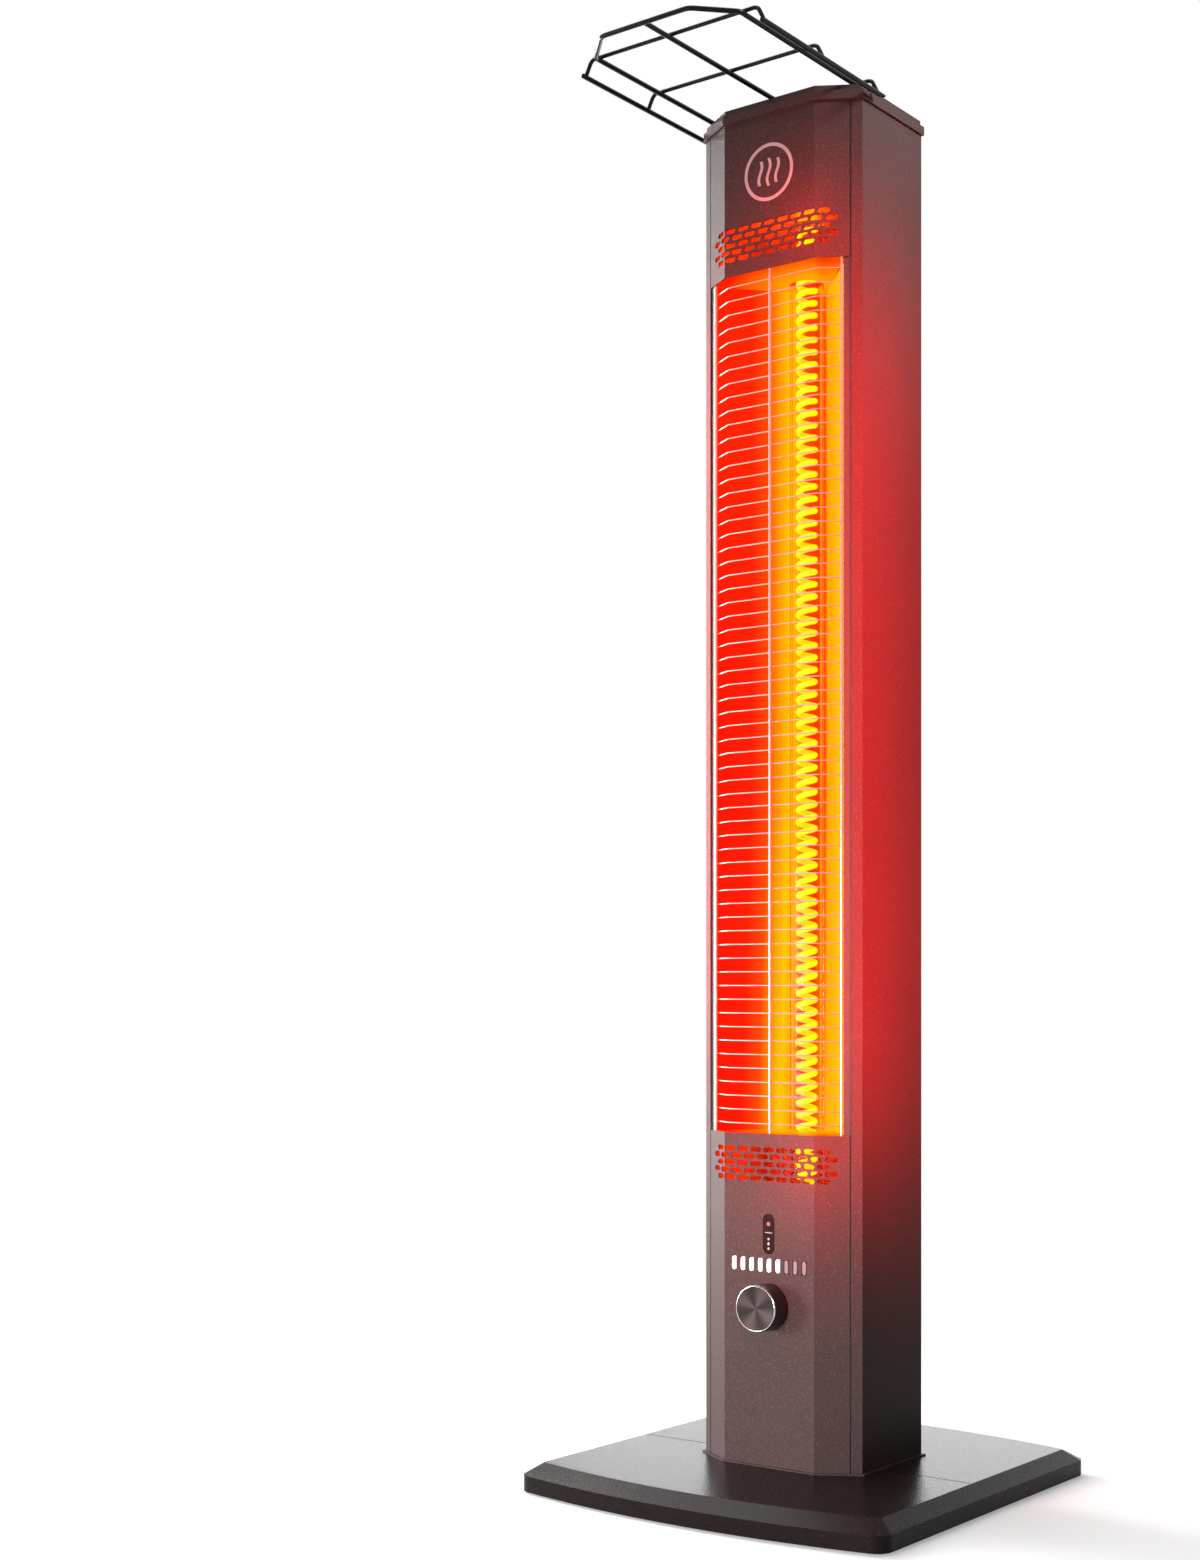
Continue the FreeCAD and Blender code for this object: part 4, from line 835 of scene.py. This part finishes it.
def print_ring(face):
    """Thin ring of the sign."""
    deselect()
    bpy.ops.mesh.primitive_circle_add(vertices=SIGN_SIDES, radius=SIGN_RADIUS, fill_type="NGON",
                                      location=(0.0, face, SIGN_LEVEL), rotation=(math.pi / 2, 0.0, 0.0))
    ring = named("sign_ring")
    edit_all()
    bpy.ops.mesh.inset(thickness=SIGN_STROKE, depth=0.0)
    bpy.ops.mesh.delete(type="FACE")
    bpy.ops.mesh.select_all(action="SELECT")
    draw_out(0.0, -PRINT_DEPTH, 0.0)
    return close_edit(ring)


def print_wave(face, x, length):
    """One upright wave of the sign, at its place across the ring."""
    deselect()
    bpy.ops.mesh.primitive_grid_add(x_subdivisions=1, y_subdivisions=WAVE_STEPS, size=1.0,
                                    location=(0.0, face, SIGN_LEVEL), rotation=(math.pi / 2, 0.0, 0.0))
    wave = named("sign_wave")
    edit_all()
    bpy.ops.transform.resize(value=(WAVE_WIDTH, 1.0, length), center_override=(0.0, face, SIGN_LEVEL))
    bpy.ops.object.mode_set(mode="OBJECT")
    for vertex in wave.data.vertices:
        turn = (vertex.co.z - SIGN_LEVEL) / WAVE_LENGTH * math.tau
        vertex.co.x += x + WAVE_SWING * math.sin(turn)
    edit_all()
    draw_out(0.0, -PRINT_DEPTH, 0.0)
    return close_edit(wave)


def print_sign():
    """Generic warmth sign: a pale ring round three waves, printed on the upper panel."""
    face = PANEL_FRONT - SIGN_LIFT
    strokes = [print_ring(face), print_wave(face, 0.0, WAVE_LENGTH)]
    side_wave = print_wave(face, -WAVE_PITCH, SIDE_WAVE_LENGTH)
    strokes += with_copies(side_wave, [(2 * WAVE_PITCH, 0.0, 0.0)])
    sign = join("warmth_sign", strokes)
    dress(sign, sign_finish, "heater")


turn_knob()
light_lamps()
light_display()
print_sign()


# Grille and rack


def run_wire(name, radius, places, bend, axis, sides=12):
    """Round wire in one plane: a ring drawn along straight runs and turned in steps round each bend."""
    points = [Vector(place) for place in places]
    towards = (points[1] - points[0]).normalized()
    deselect()
    bpy.ops.mesh.primitive_circle_add(vertices=sides, radius=radius, fill_type="NGON", location=points[0],
                                      rotation=towards.to_track_quat("Z", "Y").to_euler())
    wire = named(name)
    edit_all()
    here = points[0]
    for before, corner, after in zip(points, points[1:], points[2:]):
        arriving = (corner - before).normalized()
        leaving = (after - corner).normalized()
        turn = arriving.angle(leaving)
        cut = bend * math.tan(turn / 2)
        stop = corner - arriving * cut
        draw_out(*(stop - here))
        square = arriving.cross(leaving).normalized()
        centre = stop + square.cross(arriving) * bend
        steps = max(BEND_STEPS_LEAST, math.ceil(math.degrees(turn) / BEND_STEP))
        way = square["XYZ".index(axis)]
        for step in range(steps):
            bpy.ops.mesh.extrude_region_move()
            bpy.ops.transform.rotate(value=-turn / steps * way, orient_axis=axis, center_override=centre)
        here = corner + leaving * cut
    draw_out(*(points[-1] - here))
    return close_edit(wire, angle=50)


def string_grille():
    """One bent wire across the window, repeated up to its top."""
    low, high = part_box("grille_wires")
    first, last = low[2] + GRILLE_SOLID_RADIUS, high[2] - GRILLE_SOLID_RADIUS
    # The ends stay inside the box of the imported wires
    end_x, end_y = high[0] - GRILLE_RADIUS * 0.6, high[1] - GRILLE_RADIUS * 0.9
    fold_x, fold_y = GRILLE_FOLD
    wire = run_wire("grille_cross_wires", GRILLE_RADIUS, [
        (-end_x, end_y, first), (-fold_x, fold_y, first), (fold_x, fold_y, first), (end_x, end_y, first)],
        GRILLE_BEND, "Z", GRILLE_SIDES)
    ladder = wire.modifiers.new("ladder", "ARRAY")
    ladder.count = GRILLE_COUNT
    ladder.use_relative_offset = False
    ladder.use_constant_offset = True
    ladder.constant_offset_displace = (0.0, 0.0, (last - first) / (GRILLE_COUNT - 1))
    bpy.ops.object.modifier_apply(modifier="ladder")
    dress(wire, finishes["grille_steel"], "heater")
    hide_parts("grille_wires")


def bend_rack():
    """Long wires on the cap, cross wires with bent legs, and the two low rails."""
    low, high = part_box("rack_outline")
    radius = (high[2] - low[2]) / 2
    level = (high[2] + low[2]) / 2
    half, front, rear = high[0] - radius, low[1] + radius, high[1]
    outline = run_wire("rack_long_wire", radius, [
        (-half, rear, level), (-half, RACK_SHOULDER, level), (-RACK_FRONT_HALF, front, level),
        (RACK_FRONT_HALF, front, level), (half, RACK_SHOULDER, level), (half, rear, level)], RACK_BEND, "Z")
    dress(outline, finishes["black_wire"], "heater")
    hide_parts("rack_outline")
    for node in ("rack_centre_wire", "rack_left_rail", "rack_right_rail"):
        low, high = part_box(node)
        x, level = (low[0] + high[0]) / 2, (low[2] + high[2]) / 2
        wire = run_wire(node.replace("rack", "round"), radius, [(x, low[1], level), (x, high[1], level)],
                        RACK_BEND, "Z")
        dress(wire, finishes["black_wire"], "heater")
        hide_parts(node)
    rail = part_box("rack_right_rail")
    rail_x, rail_level = (rail[0][0] + rail[1][0]) / 2, (rail[0][2] + rail[1][2]) / 2
    knee = rail_x - LEG_SPLAY
    for node in ("rack_front_cross_wire", "rack_middle_cross_wire", "rack_rear_cross_wire"):
        low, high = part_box(node)
        thin = (high[1] - low[1]) / 2
        y, level = (low[1] + high[1]) / 2, high[2] - thin
        wire = run_wire(node.replace("rack", "round"), thin, [
            (-rail_x, y, rail_level), (-knee, y, level), (knee, y, level), (rail_x, y, rail_level)],
            LEG_BEND, "Y")
        dress(wire, finishes["black_wire"], "heater")
        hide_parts(node)


string_grille()
bend_rack()


# Seam and screws


def mark_seam():
    """Dark line where the two halves of the base meet, on both sides of the column's foot."""
    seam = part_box("base_front_half")[1][1]
    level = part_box("base_front_half")[1][2]
    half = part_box("base_front_half")[1][0] - SEAM_INSET
    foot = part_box("foot_trim")[1][0]
    spot = (-(half + foot) / 2, seam, level)
    deselect()
    bpy.ops.mesh.primitive_plane_add(size=1.0, location=spot)
    line = named("seam_line")
    edit_all()
    bpy.ops.transform.resize(value=(half - foot, SEAM_WIDTH, 1.0), center_override=spot)
    draw_out(0.0, 0.0, SEAM_HEIGHT)
    close_edit(line)
    seam_line = join("base_seam_lines", with_copies(line, [(half + foot, 0.0, 0.0)]))
    dress(seam_line, seam_finish, "heater")


def make_screw(name, spot, axis_turn, radius, crown=1.0):
    """Pan-head screw with a dished top, its head standing out along the turned Z axis."""
    deselect()
    bpy.ops.mesh.primitive_circle_add(vertices=SCREW_SIDES, radius=radius, fill_type="NGON")
    screw = named(name)
    edit_all()
    for share, rise in SCREW_STEPS:
        draw_out(0.0, 0.0, radius * rise * crown)
        bpy.ops.transform.resize(value=(share, share, 1.0), center_override=(0.0, 0.0, 0.0))
    bpy.ops.mesh.inset(thickness=radius * RECESS_INSET, depth=-radius * RECESS_DEPTH * crown)
    close_edit(screw, angle=30)
    screw.rotation_euler = axis_turn
    screw.location = spot
    bpy.ops.object.transform_apply(location=True, rotation=True, scale=True)
    return screw


def fit_screws():
    """Screws of the rear panel and of the rack's clamp bar."""
    lowest = REAR_SCREW_LEVELS[0]
    screw = make_screw("rear_screw", (-REAR_SCREW_SPREAD, PANEL_BACK, lowest), (-math.pi / 2, 0.0, 0.0),
                       REAR_SCREW_RADIUS)
    moves = [(across, 0.0, level - lowest) for across in (0.0, 2 * REAR_SCREW_SPREAD)
             for level in REAR_SCREW_LEVELS]
    rear = join("rear_panel_screws", with_copies(screw, moves[1:]))
    dress(rear, finishes["zinc_steel"], "heater")
    low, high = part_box("rack_clamp_bar")
    middle = (low[1] + high[1]) / 2
    screw = make_screw("clamp_screw", (-CLAMP_SCREW_SPREAD, middle, high[2]), (0.0, 0.0, 0.0),
                       CLAMP_SCREW_RADIUS, CLAMP_SCREW_CROWN)
    bar = join("clamp_bar_screws", with_copies(screw, [(2 * CLAMP_SCREW_SPREAD, 0.0, 0.0)]))
    dress(bar, finishes["black_wire"], "heater")


mark_seam()
fit_screws()


# Studio


# Floor and surroundings
FLOOR_SIZE = 16.0
FLOOR_TONE = (0.9, 0.9, 0.9)
FLOOR_BOUNCE = (0.3, 0.3, 0.3)
FADE_START = 0.16
FADE_END = 0.8
FADE_LEAST = 0.3
WORLD_LIGHT = 0.08

# Camera, with its focal length and horizon in rows of the photograph
SENSOR_HEIGHT = 36.0
PHOTO_ROWS = 1560.0
FOCAL_ROWS = 2194.5
HORIZON_ROW = 988.4
CAMERA_SPOT = (0.8221, -1.3176, 0.3490)
CAMERA_TURN = 37.345

# Lamps: name, place, aim, size, watts, colour and spread in degrees
WHITE = (1.0, 1.0, 1.0)
SOFT = (1.0, 0.97, 0.96)
GLOW = (1.0, 0.012, 0.01)
ORANGE_GLOW = (1.0, 0.03, 0.0)
STUDIO_LAMPS = [
    ("left_softbox", (-1.4, -1.5, 0.3), (0.0, 0.0, 0.24), (0.6, 0.5), 3.3, SOFT, 50),
    ("front_softbox", (0.05, -1.95, 0.3), (0.0, 0.0, 0.22), (0.4, 0.4), 3.3, SOFT, 45),
    ("upper_right_softbox", (0.6, 0.06, 1.25), (0.064, 0.0, 0.95), (0.2, 0.2), 0.6, SOFT, 45),
    ("left_strip", (-1.4, 0.1, 0.7), (0.0, 0.0, 0.55), (0.5, 1.5), 52.0, WHITE, 180),
    ("top_softbox", (-0.9, 0.0, 2.5), (-0.3, 0.0, 0.0), (2.0, 2.2), 66.0, WHITE, 180),
    ("rear_softbox", (-0.7, 2.3, 0.5), (0.0, 0.0, 0.1), (2.4, 0.9), 18.0, WHITE, 180),
    ("side_glow", (0.21, -0.10, 0.54), (0.064, -0.01, 0.54), (0.05, 0.6), 3.2, GLOW, 90),
    ("right_edge_glow", (0.11, -0.15, 0.56), (0.05, -0.04, 0.56), (0.02, 0.56), 0.36, GLOW, 80),
    ("left_edge_glow", (-0.12, -0.14, 0.56), (-0.055, -0.035, 0.56), (0.02, 0.5), 1.5, GLOW, 80)]
# Red light at the vents: level and watts behind each bank, and the watts before each
VENT_LAMPS = [(0.866, 2.6), (0.228, 1.6)]
VENT_WATTS = 0.09
# Red light on the panels: level and watts
PANEL_LAMPS = [(0.85, 0.05), (0.24, 0.2)]


def add_seen(tree, path):
    """The rays that see plain white: camera, glossy and transmission rays."""
    seen = path.outputs["Is Camera Ray"]
    for label in ("Is Glossy Ray", "Is Transmission Ray"):
        seen = add_sum(tree, "MAXIMUM", seen, path.outputs[label])
    return seen


def make_floor():
    """Pale floor that fades to white away from the object and keeps its soft shadow."""
    deselect()
    bpy.ops.mesh.primitive_plane_add(size=FLOOR_SIZE, location=(0.0, 0.0, 0.0))
    floor = named("studio_floor")
    material, tree, shader = new_finish("studio floor", FLOOR_TONE, roughness=0.9, Specular_IOR_Level=0.1)
    path = tree.nodes.new("ShaderNodeLightPath")
    bounce = add_mix(tree, path.outputs["Is Diffuse Ray"], FLOOR_TONE + (1.0,), FLOOR_BOUNCE + (1.0,))
    tree.links.new(bounce, shader.inputs["Base Color"])
    length = tree.nodes.new("ShaderNodeVectorMath")
    length.operation = "LENGTH"
    tree.links.new(add_place(tree), length.inputs[0])
    fade = add_range(tree, length.outputs["Value"], FADE_START, FADE_END, FADE_LEAST, 1.0)
    white = tree.nodes.new("ShaderNodeEmission")
    white.inputs["Strength"].default_value = 1.0
    blend = tree.nodes.new("ShaderNodeMixShader")
    tree.links.new(add_sum(tree, "MULTIPLY", add_seen(tree, path), fade), blend.inputs["Fac"])
    tree.links.new(shader.outputs["BSDF"], blend.inputs[1])
    tree.links.new(white.outputs["Emission"], blend.inputs[2])
    tree.links.new(blend.outputs["Shader"], tree.nodes["Material Output"].inputs["Surface"])
    floor.data.materials.append(material)


def make_world():
    """White backdrop for what is seen and reflected, softer light for the rest."""
    world = bpy.data.worlds.new("studio")
    bpy.context.scene.world = world
    world.use_nodes = True
    tree = world.node_tree
    background = tree.nodes["Background"]
    background.inputs["Color"].default_value = WHITE + (1.0,)
    seen = add_seen(tree, tree.nodes.new("ShaderNodeLightPath"))
    tree.links.new(add_range(tree, seen, 0.0, 1.0, WORLD_LIGHT, 1.0), background.inputs["Strength"])


def add_lamp(name, spot, aim, size, power, colour, spread):
    """Soft rectangular lamp that looks at a point."""
    lamp = bpy.data.lights.new(name, "AREA")
    lamp.shape = "RECTANGLE"
    lamp.size, lamp.size_y = size
    lamp.energy = power
    lamp.color = colour
    lamp.spread = math.radians(spread)
    holder = bpy.data.objects.new(name, lamp)
    bpy.context.collection.objects.link(holder)
    holder.location = spot
    towards = [end - start for start, end in zip(spot, aim)]
    flat = math.hypot(towards[0], towards[1])
    holder.rotation_euler = (math.atan2(flat, -towards[2]), 0.0, math.atan2(-towards[0], towards[1]))
    holder.visible_camera = False


def add_lamps():
    """All lamps of the studio, then the red ones in and before the vents."""
    for lamp in STUDIO_LAMPS:
        add_lamp(*lamp)
    for level, power in VENT_LAMPS:
        add_lamp("vent_glow", (0.034, -0.09, level), (0.03, -0.049, level), (0.02, 0.02), VENT_WATTS,
                 GLOW, 180)
        add_lamp("inside_glow", (0.0, -0.03, level), (0.0, 0.049, level), (0.07, 0.02), power,
                 ORANGE_GLOW, 180)
    for level, power in PANEL_LAMPS:
        add_lamp("panel_glow", (0.05, -0.2, level), (0.01, -0.05, level), (0.12, 0.04), power, GLOW, 130)


def add_camera():
    """Camera of the photograph: level, to the right of the heater, looking left."""
    lens = bpy.data.cameras.new("photo_camera")
    lens.sensor_fit = "VERTICAL"
    lens.sensor_height = SENSOR_HEIGHT
    lens.lens = FOCAL_ROWS * SENSOR_HEIGHT / PHOTO_ROWS
    lens.shift_y = (HORIZON_ROW - PHOTO_ROWS / 2) / PHOTO_ROWS
    lens.clip_start = 0.01
    camera = bpy.data.objects.new("photo_camera", lens)
    bpy.context.collection.objects.link(camera)
    camera.location = CAMERA_SPOT
    camera.rotation_euler = (math.pi / 2, 0.0, math.radians(CAMERA_TURN))
    bpy.context.scene.camera = camera


make_floor()
make_world()
add_lamps()
add_camera()
bpy.context.scene.view_settings.view_transform = "Standard"
